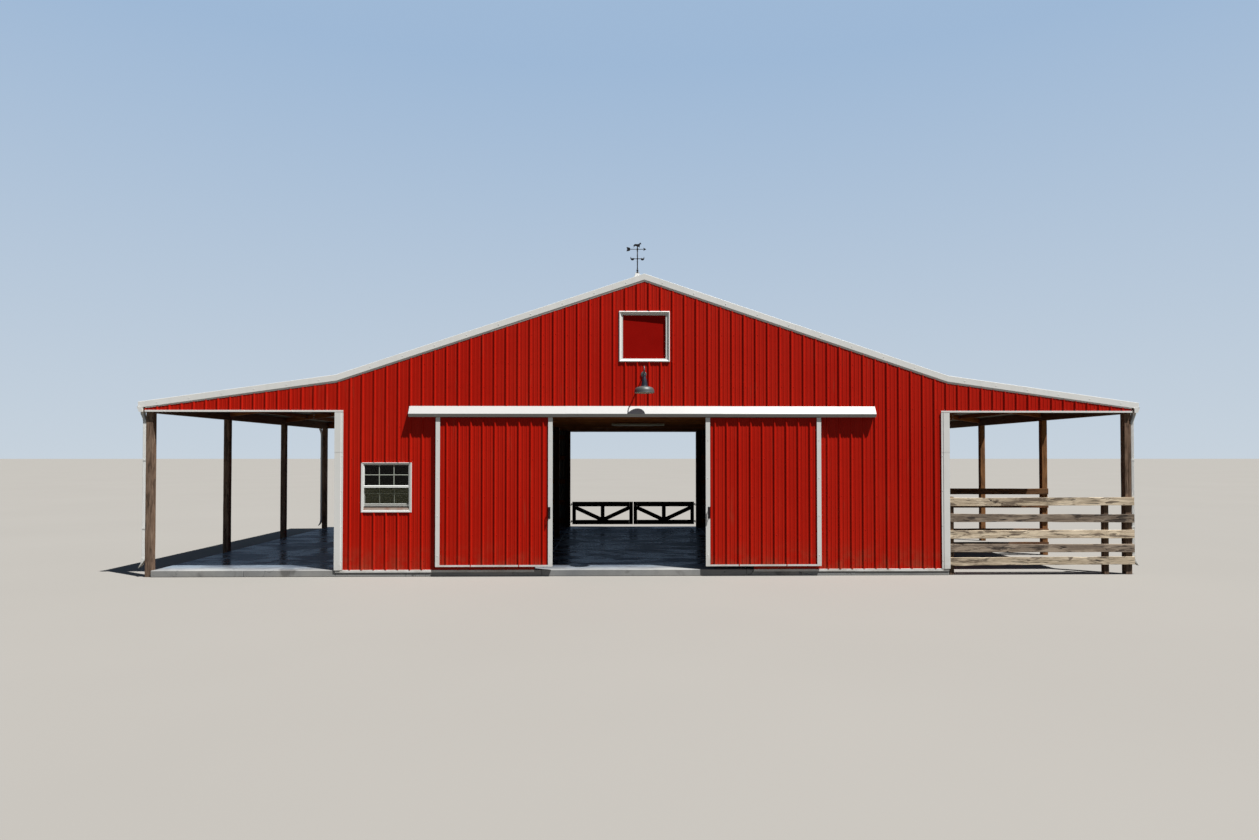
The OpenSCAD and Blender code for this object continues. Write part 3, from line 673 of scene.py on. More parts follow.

# warm brown wood for the bay posts under the right roof: painted warm bounce light from the ground
POST_WARM_BOUNCE = wood("post_wood_warm_bounce", 2, lin(158, 112, 70), lin(116, 78, 46), lin(50, 32, 22), crack=0.9, knots=0.9, depth=0.003, stain=lin(128, 90, 56), patch=0.4)
POST_WOOD = wood("post_wood", 2, lin(152, 130, 112), lin(108, 88, 74), lin(48, 36, 30), crack=1.0, knots=1.0, depth=0.004, stain=lin(126, 98, 76), patch=0.6)
INNER_WOOD = wood("inner_post_wood", 2, lin(112, 80, 58), lin(80, 52, 38), lin(38, 24, 18), crack=0.8, knots=0.8, depth=0.003)
FRAME_X = wood("rafter_wood", 0, lin(176, 116, 62), lin(138, 82, 42), lin(72, 40, 22), crack=0.4, knots=0.7, depth=0.0018, tone=0.4)
FRAME_Y = wood("purlin_wood", 1, lin(170, 112, 62), lin(132, 80, 42), lin(68, 40, 22), crack=0.4, knots=0.7, depth=0.0018, tone=0.4)
HEADER_W = wood("header_wood", 1, lin(122, 92, 68), lin(92, 66, 48), lin(44, 30, 22), crack=0.7, knots=0.7, depth=0.0025)
DECK_W = wood("deck_wood", 1, lin(184, 126, 74), lin(150, 94, 50), lin(86, 50, 28), crack=0.2, knots=0.6, depth=0.001, tone=0.35)
FENCE_W = wood("fence_wood", 0, lin(178, 162, 144), lin(130, 114, 98), lin(54, 46, 42), crack=1.0, knots=1.0, depth=0.004, tone=0.3, stain=lin(102, 92, 84), patch=0.85)
FENCE_PALE = wood("fence_wood_pale", 0, lin(238, 222, 196), lin(198, 180, 154), lin(98, 84, 72), crack=1.0, knots=1.0, depth=0.004, tone=0.3, stain=lin(156, 142, 122), patch=0.85)
INNER_FENCE_W = wood("inner_fence_wood", 0, lin(150, 110, 72), lin(112, 76, 48), lin(52, 34, 24), crack=1.0, knots=0.9, depth=0.004, tone=0.7, stain=lin(98, 64, 42), patch=0.6)
FPOST_W = wood("fence_post_wood", 2, lin(118, 98, 80), lin(84, 66, 52), lin(38, 28, 24), crack=1.0, knots=0.8, depth=0.004, patch=0.6)
GATE_X = wood("gate_rail_wood", 0, lin(54, 38, 30), lin(34, 23, 18), lin(14, 10, 8), crack=0.6, knots=0.4, depth=0.002)
GATE_Z = wood("gate_stile_wood", 2, lin(54, 38, 30), lin(34, 23, 18), lin(14, 10, 8), crack=0.6, knots=0.4, depth=0.002)


def concrete_mat():
    M = Mat("concrete", lin(150, 150, 148), 0.6, 0.0, 0.5)
    big = M.noise(0.45, 5, 0.6)
    mid = M.noise(2.8, 6, 0.65, vec=M.map((1.0, 1.6, 1.0)))
    grit = M.noise(120.0, 4, 0.7)
    col = M.ramp(big, [(0.30, lin(118, 120, 122)), (0.50, lin(148, 149, 148)), (0.72, lin(172, 170, 164))])
    col = M.mix(M.rng(mid, 0.45, 0.75, 0.0, 0.45), col, lin(104, 104, 104))
    col = M.mix(M.rng(grit, 0.35, 0.65, 0.0, 0.25), col, lin(182, 180, 174))
    stain = M.rng(M.noise(1.3, 4, 0.6, dist=0.8), 0.60, 0.72, 0.0, 0.55)
    col = M.mix(stain, col, lin(74, 68, 62))
    edge = M.maths("ABSOLUTE", M.maths("SUBTRACT", M.noise(0.9, 6, 0.55, dist=0.4), 0.5))
    crack = M.maths("MULTIPLY", M.rng(edge, 0.004, 0.0008), M.rng(M.noise(0.6, 2), 0.5, 0.6))
    col = M.mix(M.maths("MULTIPLY", crack, 0.8), col, lin(52, 50, 48))
    # Inside the doors the floor is tinted blue, with lighter and darker blue streaks: painted sky reflection and
    # painted shade. The same mask and streaks also set the lower, patchy roughness where the floor is worn smooth.
    y = M.xyz()[1]
    wear_and_sky_tint = M.rng(y, -4.75, -3.9, 0.0, 1.0)
    brush_and_sheen = M.noise(2.4, 5, 0.66, vec=M.map((0.50, 0.95, 1.0)))
    col = M.mix(M.maths("MULTIPLY", wear_and_sky_tint, 0.66), col, M.mix(M.rng(brush_and_sheen, 0.40, 0.62), lin(40, 62, 90), lin(100, 124, 146)))
    # The aisle gets more of the painted blue sky reflection.
    aisle_sky_tint = M.maths("MULTIPLY", M.rng(y, -3.7, -2.9, 0.0, 1.0), M.rng(M.maths("ABSOLUTE", M.xyz()[0]), 5.95, 5.80, 0.0, 0.30))
    col = M.mix(aisle_sky_tint, col, M.mix(M.rng(brush_and_sheen, 0.42, 0.58), lin(52, 84, 120), lin(126, 152, 180)))
    r = M.maths("ADD", M.maths("MULTIPLY", M.rng(brush_and_sheen, 0.40, 0.60), 0.26), M.maths("SUBTRACT", 0.50, M.maths("MULTIPLY", wear_and_sky_tint, 0.32)), True)
    h = M.maths("SUBTRACT", M.maths("ADD", M.maths("MULTIPLY", grit, 0.35), mid), M.maths("MULTIPLY", crack, 2.0))
    return M.end(col, r, M.bump(h, 0.0010))


def galv_mat():
    M = Mat("galvanised", lin(160, 166, 170), 0.42, 0.85, 0.5)
    c = M.cells(70.0, out="Color")
    sp = M.node("ShaderNodeRGBToBW")
    M.put(sp.inputs[0], c)
    col = M.ramp(sp.outputs[0], [(0.2, lin(132, 138, 142)), (0.8, lin(182, 188, 190))])
    dirt = M.rng(M.noise(6.0, 4), 0.5, 0.75, 0.0, 0.4)
    return M.end(M.mix(dirt, col, lin(110, 100, 88)), M.maths("ADD", M.maths("MULTIPLY", M.noise(30.0), 0.2), 0.34), M.bump(M.noise(40.0), 0.0003))


def iron_mat(name, base, rust, amount, rough=0.5, metal=0.3):
    M = Mat(name, base, rough, metal, 0.5)
    n = M.noise(28.0, 6, 0.7)
    col = M.mix(M.rng(n, 0.55, 0.78, 0.0, amount), base, rust)
    return M.end(col, M.maths("ADD", M.maths("MULTIPLY", n, 0.3), rough - 0.12), M.bump(M.noise(150.0, 4), 0.0004))


def glass_mat(name, colour, rough=0.02):
    M = Mat(name, colour, rough, 0.0, 0.2, Transmission_Weight=1.0, IOR=1.25)
    haze = M.noise(5.0, 4, 0.6)
    return M.end(None, M.maths("ADD", M.maths("MULTIPLY", haze, 0.05), rough), M.bump(M.noise(3.0, 2), 0.0012))


def screen_mat():
    M = Mat("insect_screen", lin(84, 84, 66), 0.7, 0.0, 0.2)
    M.b.inputs["Alpha"].default_value = 0.20
    w = M.noise(400.0, 2)
    return M.end(M.mix(w, lin(76, 78, 60), lin(92, 92, 72)), None, M.bump(w, 0.0002))


CONCRETE = concrete_mat()
GALV = galv_mat()
IRON = iron_mat("black_iron", (0.012, 0.012, 0.014, 1), (0.05, 0.022, 0.010, 1), 0.6, 0.45, 0.4)
LAMP = iron_mat("lamp_metal", lin(86, 90, 90), lin(84, 80, 78), 0.5, 0.45, 0.35)
NECK = iron_mat("lamp_neck", lin(30, 38, 52), lin(44, 46, 50), 0.5, 0.45, 0.2)
LAMP_IN = iron_mat("lamp_enamel", lin(196, 194, 184), lin(150, 138, 116), 0.4, 0.35, 0.0)
BULB = iron_mat("bulb_glass", lin(225, 225, 215), lin(200, 200, 190), 0.3, 0.15, 0.0)
HOUSING = iron_mat("light_housing", lin(176, 174, 160), lin(120, 108, 88), 0.4, 0.5, 0.0)
# near-black, for the foam closures and weather strip, and for the panel behind the cupola louvres, where it is painted
# shade for the dark inside
FOAM_AND_SHADE_BLACK = iron_mat("foam_and_shade_black", lin(26, 26, 28), lin(40, 38, 36), 0.3, 0.9, 0.0)
VINYL = painted("window_vinyl", (0.76, 0.78, 0.765, 1), (0.68, 0.70, 0.69, 1), lin(140, 128, 110), 0.36, 0.4, dirt_most=0.2, streak=0.08, bump=0.0002)
# the glass has a dark grey-green tint: painted shade for the room behind and painted reflection of greenery
GLASS_SHADE_TINT = glass_mat("glass", lin(60, 74, 66))
# the sill is drawn grey instead of white, and its faded and dirt colours are reddish: painted shade and painted
# reflection of the red siding
SILL_SHADE_AND_REFLECTION = painted("window_sill_shade_and_reflection", lin(150, 136, 126), lin(132, 96, 84), lin(96, 60, 50), 0.5, 0.2, dirt_most=0.3, streak=0.3, bump=0.0004)
BARS = painted("window_bars", lin(168, 174, 164), lin(156, 162, 152), lin(120, 112, 98), 0.4, 0.2, dirt_most=0.2, streak=0.05, bump=0.0002)
SCREEN = screen_mat()
SHEET = [RED, RED_BACK]

# ------------------------------------------------------------------ floor, light and camera
cam = bpy.data.cameras.new("camera")
cam.sensor_width, cam.lens, cam.clip_end = 36.0, 22.398, 2000.0
cam_ob = bpy.data.objects.new("camera", cam)
cam_ob.location = (-0.565, -19.576, 2.291)
cam.shift_y = 0.0171
cam_ob.rotation_euler = (math.radians(91.05), 0.0, math.radians(-1.072))
scene.collection.objects.link(cam_ob)
scene.camera = cam_ob

sun = bpy.data.lights.new("key", "SUN")
sun.energy, sun.angle, sun.color = 7.4, math.radians(0.8), (1.0, 0.97, 0.93)
sun_ob = bpy.data.objects.new("key", sun)
to_sun = Vector((0.338, -0.233, 0.912)).normalized()
sun_ob.rotation_euler = to_sun.to_track_quat("Z", "Y").to_euler()
scene.collection.objects.link(sun_ob)


def studio_world():
    w = bpy.data.worlds.new("studio")
    scene.world = w
    w.use_nodes = True
    nt = w.node_tree
    nt.nodes.clear()

    def nn(kind, **p):
        n = nt.nodes.new(kind)
        for k, v in p.items():
            setattr(n, k, v)
        return n
    tc, sep = nn("ShaderNodeTexCoord"), nn("ShaderNodeSeparateXYZ")
    nt.links.new(tc.outputs["Generated"], sep.inputs[0])
    ramp = nn("ShaderNodeValToRGB")
    e = ramp.color_ramp.elements
    e[0].position, e[0].color = 0.0, (0.66, 0.75, 0.84, 1)
    e[1].position, e[1].color = 0.45, (0.40, 0.56, 0.78, 1)
    nt.links.new(sep.outputs["Z"], ramp.inputs[0])
    seen, light = nn("ShaderNodeBackground"), nn("ShaderNodeBackground")
    nt.links.new(ramp.outputs[0], seen.inputs[0])
    seen.inputs[1].default_value = 0.86
    light.inputs[0].default_value = (0.50, 0.70, 1.0, 1)
    light.inputs[1].default_value = 0.165
    mix, path, out = nn("ShaderNodeMixShader"), nn("ShaderNodeLightPath"), nn("ShaderNodeOutputWorld")
    nt.links.new(path.outputs["Is Camera Ray"], mix.inputs[0])
    nt.links.new(light.outputs[0], mix.inputs[1])
    nt.links.new(seen.outputs[0], mix.inputs[2])
    nt.links.new(mix.outputs[0], out.inputs[0])


studio_world()
scene.view_settings.view_transform = "Standard"
scene.view_settings.look = "None"

me = bpy.data.meshes.new("stage_floor")
me.from_pydata([(-600, -600, -0.004), (600, -600, -0.004), (600, 600, -0.004), (-600, 600, -0.004)], [], [(0, 1, 2, 3)])
floor = bpy.data.objects.new("stage_floor", me)
FL = Mat("stage_floor", lin(206, 200, 188), 0.9, 0.0, 0.1)
ray = FL.node("ShaderNodeLightPath").outputs["Is Diffuse Ray"]
me.materials.append(FL.end(FL.mix(ray, FL.mix(FL.noise(0.15, 3), lin(139, 137, 133), lin(144, 142, 138)), lin(88, 83, 72))))
scene.collection.objects.link(floor)


# ------------------------------------------------------------------ concrete
S = Solid("slab_blocks")
gap = 0.0025
for x0, x1 in ((-HW, -1.960), (-1.960, 1.960), (1.960, HW)):
    for y0, y1 in ((-HD, -1.524), (-1.524, 1.524), (1.524, HD)):
        cbox(S, (x0 + (gap if x0 > -HW else 0), y0 + (gap if y0 > -HD else 0), 0), (x1 - (gap if x1 < HW else 0), y1 - (gap if y1 < HD else 0), SLAB), 0.006)
S.make([CONCRETE], replaces=["floor_slab"])
S = Solid("bay_slab_blocks")
for y0, y1 in ((-HD, -1.524), (-1.524, 1.524), (1.524, HD)):
    for x0, x1 in ((-BAYX + POST, -7.600), (-7.600, -HW)):
        cbox(S, (x0 + (gap if x0 > -9 else 0), y0 + (gap if y0 > -HD else 0), 0), (x1 - (gap if x1 < -7 else 0.001), y1 - (gap if y1 < HD else 0), SLAB), 0.006)
S.make([CONCRETE], replaces=["side_bay_slab"])

# ------------------------------------------------------------------ siding
FLAT = HD - 0.006                   # distance of the flats from the middle
PH_WALL = -5.6217
WIN = (-5.353, -4.471, 1.254, 2.140)
HOLE = (-0.435, 0.435, 4.140, 5.020)
BAYS = [(-BAYX, -HW, 0.0, 3.134), (HW, BAYX, 0.0, 3.134)]


def strip_h(u):
    """Height of the narrow strip under the rake trim."""
    u = abs(u)
    return 0.038 if u <= HW else 0.038 - 0.014 * (u - HW) / (BAYX - HW)


def wall_hi(u):
    return rtrim(u) - 0.117 - strip_h(u) - 0.0004


DRIFT = [(-9.6, 0.032), (-8.2, 0.030), (-7.2, 0.020), (-6.0, 0.021), (-5.3, 0.016), (-3.5, 0.012), (-2.8, 0.010), (-1.7, 0.001), (-0.9, 0.001),
         (1.2, -0.006), (2.4, -0.001), (3.7, 0.010), (4.5, 0.017), (5.4, 0.030), (6.2, 0.028), (7.4, 0.032), (8.5, 0.042), (9.6, 0.048)]


def drift(u):
    """The ribs of the front sheets sit a little off an even pitch; this is the sheet's place at u."""
    for (a0, b0), (a1, b1) in zip(DRIFT, DRIFT[1:]):
        if u <= a1:
            return u + b0 + (b1 - b0) * (u - a0) / (a1 - a0)
    return u + DRIFT[-1][1]


def undrift(x):
    u = x
    for _ in range(30):
        u += x - drift(u)
    return u


def end_wall(name, flip, half, holes, nodes):
    S = Solid(name, flip)
    D, U = (lambda u: u, lambda u: u) if flip else (drift, undrift)
    opens = BAYS + [(-half, half, 0.0, 3.050)] + holes
    cuts = [U(x) for x in (-HW, 0.0, HW)] + ([] if flip else [a for a, _ in DRIFT[1:-1]])
    sheets(S, U(-BAYX), U(BAYX), PH_WALL, lambda u: SLAB, lambda u: wall_hi(D(u)), lambda u, h, z: (D(u), -FLAT - h, z), cuts=cuts, holes=[(U(a), U(b), c, d) for a, b, c, d in opens], shift=1)
    S.make(SHEET, replaces=nodes)


end_wall("front_siding", False, 2.100, [(-5.3915, -4.4325, 1.2155, 2.1655), (-0.4905, 0.4905, 4.0945, 5.0745)], ["front_wall_left", "front_wall_right", "front_gable", "bay_gables"])
end_wall("rear_siding", True, 1.930, [], ["rear_walls", "rear_gable", "bay_gables"])
for name, sx in (("left_siding", -1), ("right_siding", 1)):
    S = Solid(name)
    sheets(S, -FLAT, FLAT, 0.06 * sx, lambda u: SLAB, lambda u: 3.813, lambda u, h, z: (sx * (HW - 0.006 + h), u, z))
    S.make(SHEET, replaces=["left_wall" if sx < 0 else "right_wall"])

GIRTS = (0.30, 0.87, 1.51, 2.23, 2.86)
ROWS = [(3.205, 9.46), (3.62, 6.6), (4.06, 4.9), (4.62, 3.2), (5.20, 1.45)]


def girts(name, flip, half, window):
    S = Solid(name, flip)
    k = 50 if flip else 0
    y = -HD + 0.0345
    for z in GIRTS:
        for s in (-1, 1):
            spans = [(half + 0.001, 5.86)] if not (window and s < 0 and WIN[2] - 0.07 < z < WIN[3] + 0.07) else [(half + 0.001, -WIN[1] - 0.002), (-WIN[0] + 0.002, 5.86)]
            for a, b in spans:
                k += 1
                timber(S, (s * a, y, z), (s * b, y, z), (0, 1, 0), (0, 0, 1), 0.050, 0.138, k, warp=0.0, step=0.8, c=0.003)
    for z, w in ROWS:
        hole = window and HOLE[2] < z + 0.07 and z - 0.07 < HOLE[3]
        for a, b in ([(-w, -0.436), (0.436, w)] if hole else [(-w, w)]):
            k += 1
            timber(S, (a, y, z), (b, y, z), (0, 1, 0), (0, 0, 1), 0.050, 0.138, k, warp=0.0, step=0.8, c=0.003)
    S.make([FRAME_X])


girts("front_girts", False, 2.240, True)
girts("rear_girts", True, 2.070, False)
S = Solid("side_girts")
for sx in (-1, 1):
    for i, z in enumerate(GIRTS + (3.55,)):
        timber(S, (sx * (HW - 0.0335), -4.51, z), (sx * (HW - 0.0335), 4.51, z), (1, 0, 0), (0, 0, 1), 0.050, 0.138, 120 + i + 10 * sx, warp=0.0, step=0.8, c=0.003)
S.make([FRAME_Y])
S = Solid("window_studs")
for x in (WIN[0] - 0.021, WIN[1] + 0.021):
    timber(S, (x, -HD + 0.0345, 0.80), (x, -HD + 0.0345, 2.86), (1, 0, 0), (0, 1, 0), 0.038, 0.050, int(x * -10), warp=0.0, step=0.8)
for z in (WIN[2] - 0.020, WIN[3] + 0.020):
    timber(S, (WIN[0], -HD + 0.0345, z), (WIN[1], -HD + 0.0345, z), (0, 1, 0), (0, 0, 1), 0.050, 0.038, int(z * 10), warp=0.0, step=0.8)
for x in (-0.456, 0.456):
    timber(S, (x, -HD + 0.0345, 4.05), (x, -HD + 0.0345, 5.20), (1, 0, 0), (0, 1, 0), 0.038, 0.050, int(x * 30) + 60, warp=0.0, step=0.8)
S.make([FRAME_Y])

S = Solid("siding_screws")
rnd = random.Random(5)
for flip, half in ((1, 2.10), (-1, 1.93)):
    for x in rib_lines(-BAYX, BAYX, PH_WALL):
        for z in GIRTS + tuple(r[0] for r in ROWS):
            px = (drift(x) if flip > 0 else x) + 0.034 + rnd.uniform(-0.003, 0.003)
            pz = z + rnd.uniform(-0.008, 0.008)
            if abs(px) > BAYX - 0.05 or (abs(px) > HW - 0.15 and z < 3.2) or pz > rund(px) - 0.19 or (abs(px) < half + 0.02 and z < 3.1):
                continue
            if 3.02 < z < 3.30 and abs(px) < 4.6:
                continue
            if flip > 0 and (WIN[0] - 0.06 < px < WIN[1] + 0.06 and WIN[2] - 0.06 < z < WIN[3] + 0.06 or abs(px) < 0.50 and 4.06 < z < 5.10):
                continue
            screw(S, (flip * px, -flip * (FLAT + 0.0004), pz), (0, -flip, 0))
for sx in (-1, 1):
    for y in rib_lines(-4.40, 4.40, 0.06 * sx):
        for z in GIRTS + (3.55,):
            screw(S, (sx * (HW - 0.0056), y + 0.034, z + rnd.uniform(-0.008, 0.008)), (sx, 0, 0))
S.make([RED])

# ------------------------------------------------------------------ white trim
S = Solid("corner_trim_folds")
for sx in (-1, 1):
    for sy in (-1, 1):
        P = lambda a, b, s: (sx * a, -sy * b, s)
        path = [(5.8855, -4.4635), (5.8895, -4.4615), (5.8900, -4.5935), (5.7720, -4.5935), (5.7700, -4.5868), (5.7320, -4.5868), (5.7305, -4.5830)]
        for z0, z1, e in ((0.122, 2.40, 0.0), (2.36, 3.1215, 0.0016)):
            strip(S, [(a + (e if a > 5.8 else 0), b - e) for a, b in path], 0.0014, [z0, (z0 + z1) / 2, z1], P)
        for z in (0.28, 0.95, 1.62, 2.29, 2.96):
            screw(S, (sx * 5.751, sy * 4.5868, z), (0, sy, 0))
            screw(S, (sx * 5.8895, sy * 4.49, z), (sx, 0, 0))
S.make([WHITE], replaces=["corner_trims"])

S = Solid("level_trim_folds")
for sx in (-1, 1):
    for sy in (-1, 1):
        P = lambda a, b, s: (sx * s, -sy * a, b)
        strip(S, [(-4.545, 3.1290), (-4.5912, 3.1290), (-4.5912, 3.1585), (-4.5855, 3.1605)], 0.0014, [5.730, 7.62], P)
        strip(S, [(-4.545, 3.1278), (-4.5926, 3.1278), (-4.5926, 3.1598), (-4.5855, 3.1619)], 0.0014, [7.59, 9.465], P)
        half = 2.100 if sy < 0 else 1.930
        strip(S, [(-4.565, 0.0900), (-4.5820, 0.0785), (-4.5820, 0.1210), (-4.5700, 0.1225)], 0.0014, [half, 4.1], P)
        strip(S, [(-4.565, 0.0886), (-4.5834, 0.0771), (-4.5834, 0.1222), (-4.5700, 0.1237)], 0.0014, [4.07, HW], P)
        for x in (6.1, 6.7, 7.3, 7.9, 8.5, 9.1):
            screw(S, (sx * x, sy * 4.5915, 3.140), (0, sy, 0))
S.make([WHITE], replaces=["level_trims"])

RAKE_MAIN = [(-4.5660, -0.1150), (-4.5790, -0.1170), (-4.5810, -0.1150), (-4.5810, -0.0030), (-4.5785, 0.0), (-4.5150, 0.0), (-4.5120, -0.0030), (-4.5120, -0.0180), (-4.5135, -0.0180), (-4.5135, -0.0040), (-4.5160, -0.0015), (-4.5660, -0.0015)]
S = Solid("rake_trim_folds")
for sx in (-1, 1):
    for sy in (-1, 1):
        for a, b, e in ((0.0, 2.96, 0.0), (2.92, HW, 0.0014), (HW, 9.600, 0.0)):
            rings = [[(sx * x, -sy * (y - (e if y < -4.57 else 0)), rtrim(x) + dz + (e if dz > -0.01 else -e if dz < -0.1 else 0)) for y, dz in RAKE_MAIN] for x in (a, (a + b) / 2, b)]
            sweep(S, rings)
        for a, b, d0, d1 in ((0.0, HW, 0.038, 0.038), (HW, BAYX, 0.038, 0.024)):
            rings = []
            for x, d in ((a, d0), (b, d1)):
                z = rtrim(x) - 0.117
                rings.append([(sx * x, -sy * y, zz) for y, zz in ((-4.5640, z + 0.002), (-4.5640, z - d + 0.001), (-4.5695, z - d), (-4.5705, z - d + 0.0012), (-4.5790, z + 0.002))])
            sweep(S, rings, mat=1)
        # a board behind the trim closes the wall up to the roof
        for a, b in ((0.0, HW), (HW, BAYX)):
            sweep(S, [[(sx * x, -sy * y, zz) for y, zz in ((-4.5630, rtrim(x) - 0.190), (-4.5630, rund(x) - 0.001), (-4.5605, rund(x) - 0.001), (-4.5605, rtrim(x) - 0.190))] for x in (a, b)], mat=2)
        for i in range(9):
            xx = 0.35 + i * 0.61
            screw(S, (sx * xx, sy * 4.5822, rtrim(xx) - 0.060), (0, sy, 0))
        for i in range(6):
            xx = 6.2 + i * 0.61
            screw(S, (sx * xx, sy * 4.5812, rtrim(xx) - 0.060), (0, sy, 0))
S.make([RAKE, RAKE, RED_BACK], replaces=["rake_trims"])

# ------------------------------------------------------------------ roof
NORM = {MP: 1 / math.hypot(1, MP), SP: 1 / math.hypot(1, SP)}


def roof_place(sx, slope):
    c = NORM[slope]

    def f(u, h, s):
        x = s + h * slope * c
        z = (BREAK + (HW - s) * MP if slope == MP else BREAK - (s - HW) * SP) - 0.024 + h * c
        return (sx * x, u, z)
    return f


for sx, side in ((-1, "left"), (1, "right")):
    for slope, kind, a, b in ((MP, "main", 0.030, HW + 0.012), (SP, "side", HW - 0.030, 9.570)):
        S = Solid(f"roof_{kind}_{side}_sheets")
        sheets(S, -4.564, 4.564, 0.03, lambda u: a, lambda u: b, roof_place(sx, slope), lap=4)
        P = roof_place(sx, slope)
        n = Vector((sx * slope, 0, 1)).normalized()
        rows = [a + 0.35 + 0.61 * i for i in range(int((b - a - 0.2) / 0.61))]
        for y in rib_lines(-4.48, 4.48, 0.03):
            for x in rows:
                screw(S, P(y + 0.034, 0.0004, x + rnd.uniform(-0.006, 0.006)), n, r=0.007)
        S.make([ROOF, SOFFIT], replaces=[f"roof_{kind}_{side}"])

S = Solid("ridge_cap_folds")


def ridge_z(x):
    return rtop(x) - 0.0045


cap = [(-0.170, ridge_z(0.170) - 0.006), (-0.1715, ridge_z(0.1715) + 0.003), (-0.150, ridge_z(0.150) + 0.006), (-0.024, ridge_z(0.024) + 0.006), (0.0, ridge_z(0) + 0.021),
       (0.024, ridge_z(0.024) + 0.006), (0.150, ridge_z(0.150) + 0.006), (0.1715, ridge_z(0.1715) + 0.003), (0.170, ridge_z(0.170) - 0.006)]
for i, (a, b) in enumerate(((-4.572, -1.50), (-1.55, 1.52), (1.47, 4.572))):
    e = 0.0014 if i == 1 else 0.0
    strip(S, [(x, z + e) for x, z in cap], 0.0014, [a, b], lambda p, q, s: (p, s, q))
for sx in (-1, 1):
    rings = [[(sx * x, y, z) for x, z in ((0.128, rtop(0.128) - 0.024), (0.152, rtop(0.152) - 0.024), (0.152, rtop(0.152) - 0.001), (0.128, rtop(0.128) - 0.001))] for y in (-4.566, 4.566)]
    sweep(S, rings, mat=1)
    for y in rib_lines(-4.48, 4.48, 0.03):
        screw(S, (sx * 0.142, y, rtop(0.142) + 0.0012), (sx * MP, 0, 1), r=0.007)
    for sy in (-1, 1):     # dark closure under the open end of the cap
        rings = [[(x, y, z) for x, z in ((sx * 0.002, rtop(0) - 0.030), (sx * 0.150, rtop(0.150) - 0.030), (sx * 0.150, rtop(0.150) + 0.0005), (sx * 0.024, rtop(0.024) + 0.0005), (sx * 0.002, rtop(0) + 0.013))] for y in (sy * 4.545, sy * 4.569)]
        sweep(S, rings, mat=1)
S.make([ROOF, FOAM_AND_SHADE_BLACK], replaces=["ridge_cap"])

S = Solid("pitch_break_flashing")
for sx in (-1, 1):
    path = [(HW + 0.150, rtop(HW + 0.150) - 0.012), (HW + 0.1515, rtop(HW + 0.1515) - 0.0040), (HW, BREAK - 0.0025), (HW - 0.150, rtop(HW - 0.150) - 0.0040), (HW - 0.1490, rtop(HW - 0.149) - 0.012)]
    if sx < 0:
        path = path[::-1]
    for a, b, e in ((-4.562, -1.5, 0.0), (-1.54, 1.54, 0.0014), (1.5, 4.562, 0.0)):
        strip(S, [(sx * x, z + e) for x, z in (path if sx > 0 else path)][::-1], 0.0014, [a, b], lambda p, q, s: (p, s, q))
    for y in rib_lines(-4.48, 4.48, 0.03):
        screw(S, (sx * (HW + 0.12), y, rtop(HW + 0.12) - 0.004), (sx * SP, 0, 1), r=0.007)
        screw(S, (sx * (HW - 0.12), y, rtop(HW - 0.12) - 0.004), (sx * MP, 0, 1), r=0.007)
S.make([ROOF])

# ------------------------------------------------------------------ timber frame
S = Solid("bay_post_timbers")
k = 0
for sx in (-1, 1):
    for y in BENT:
        k += 1
        x = sx * (BAYX - POST / 2)
        # posts under the right bay roof take the warm wood: painted bounce light
        timber(S, (x, y, 0.0), (x, y, HEAD), (1, 0, 0), (0, 1, 0), POST - 0.002, POST - 0.002, k, c=0.006, warp=0.0010, wane=0.0025, check=0.014, step=0.09, mat=1 if sx > 0 and y > -4 else 0)
S.make([POST_WOOD, POST_WARM_BOUNCE], replaces=["bay_posts"])

S = Solid("eave_header_plies")
for sx in (-1, 1):
    cuts = ([-4.541, -1.524, 1.524, 4.541], [-4.541, 0.0, 4.541], [-4.541, -1.524, 1.524, 4.541])
    for i, x in enumerate((9.3565, 9.400, 9.4435)):
        top = rund(x + 0.0215) - 0.001
        for a, b in zip(cuts[i], cuts[i][1:]):
            k += 1
            timber(S, (sx * x, a + 0.001, (HEAD + top) / 2), (sx * x, b - 0.001, (HEAD + top) / 2), (1, 0, 0), (0, 0, 1), 0.0425, top - HEAD, k, warp=0.0004, wane=0.001, c=0.003, step=0.3)
    top = rund(9.503) - 0.001
    for a, b in ((-4.571, 0.0), (0.0, 4.571)):
        k += 1
        timber(S, (sx * 9.4845, a, (3.142 + top) / 2), (sx * 9.4845, b - 0.002, (3.142 + top) / 2), (1, 0, 0), (0, 0, 1), 0.036, top - 3.142, k, warp=0.0004, c=0.003, step=0.5)
    for y in BENT:      # bolts through the header into each post
        for dy in (-0.03, 0.03):
            bolt(S, (sx * (BAYX - POST), y + dy, 3.20), (-sx, 0, 0), 0.010, mat=1)
S.make([HEADER_W, GALV], replaces=["eave_headers"])

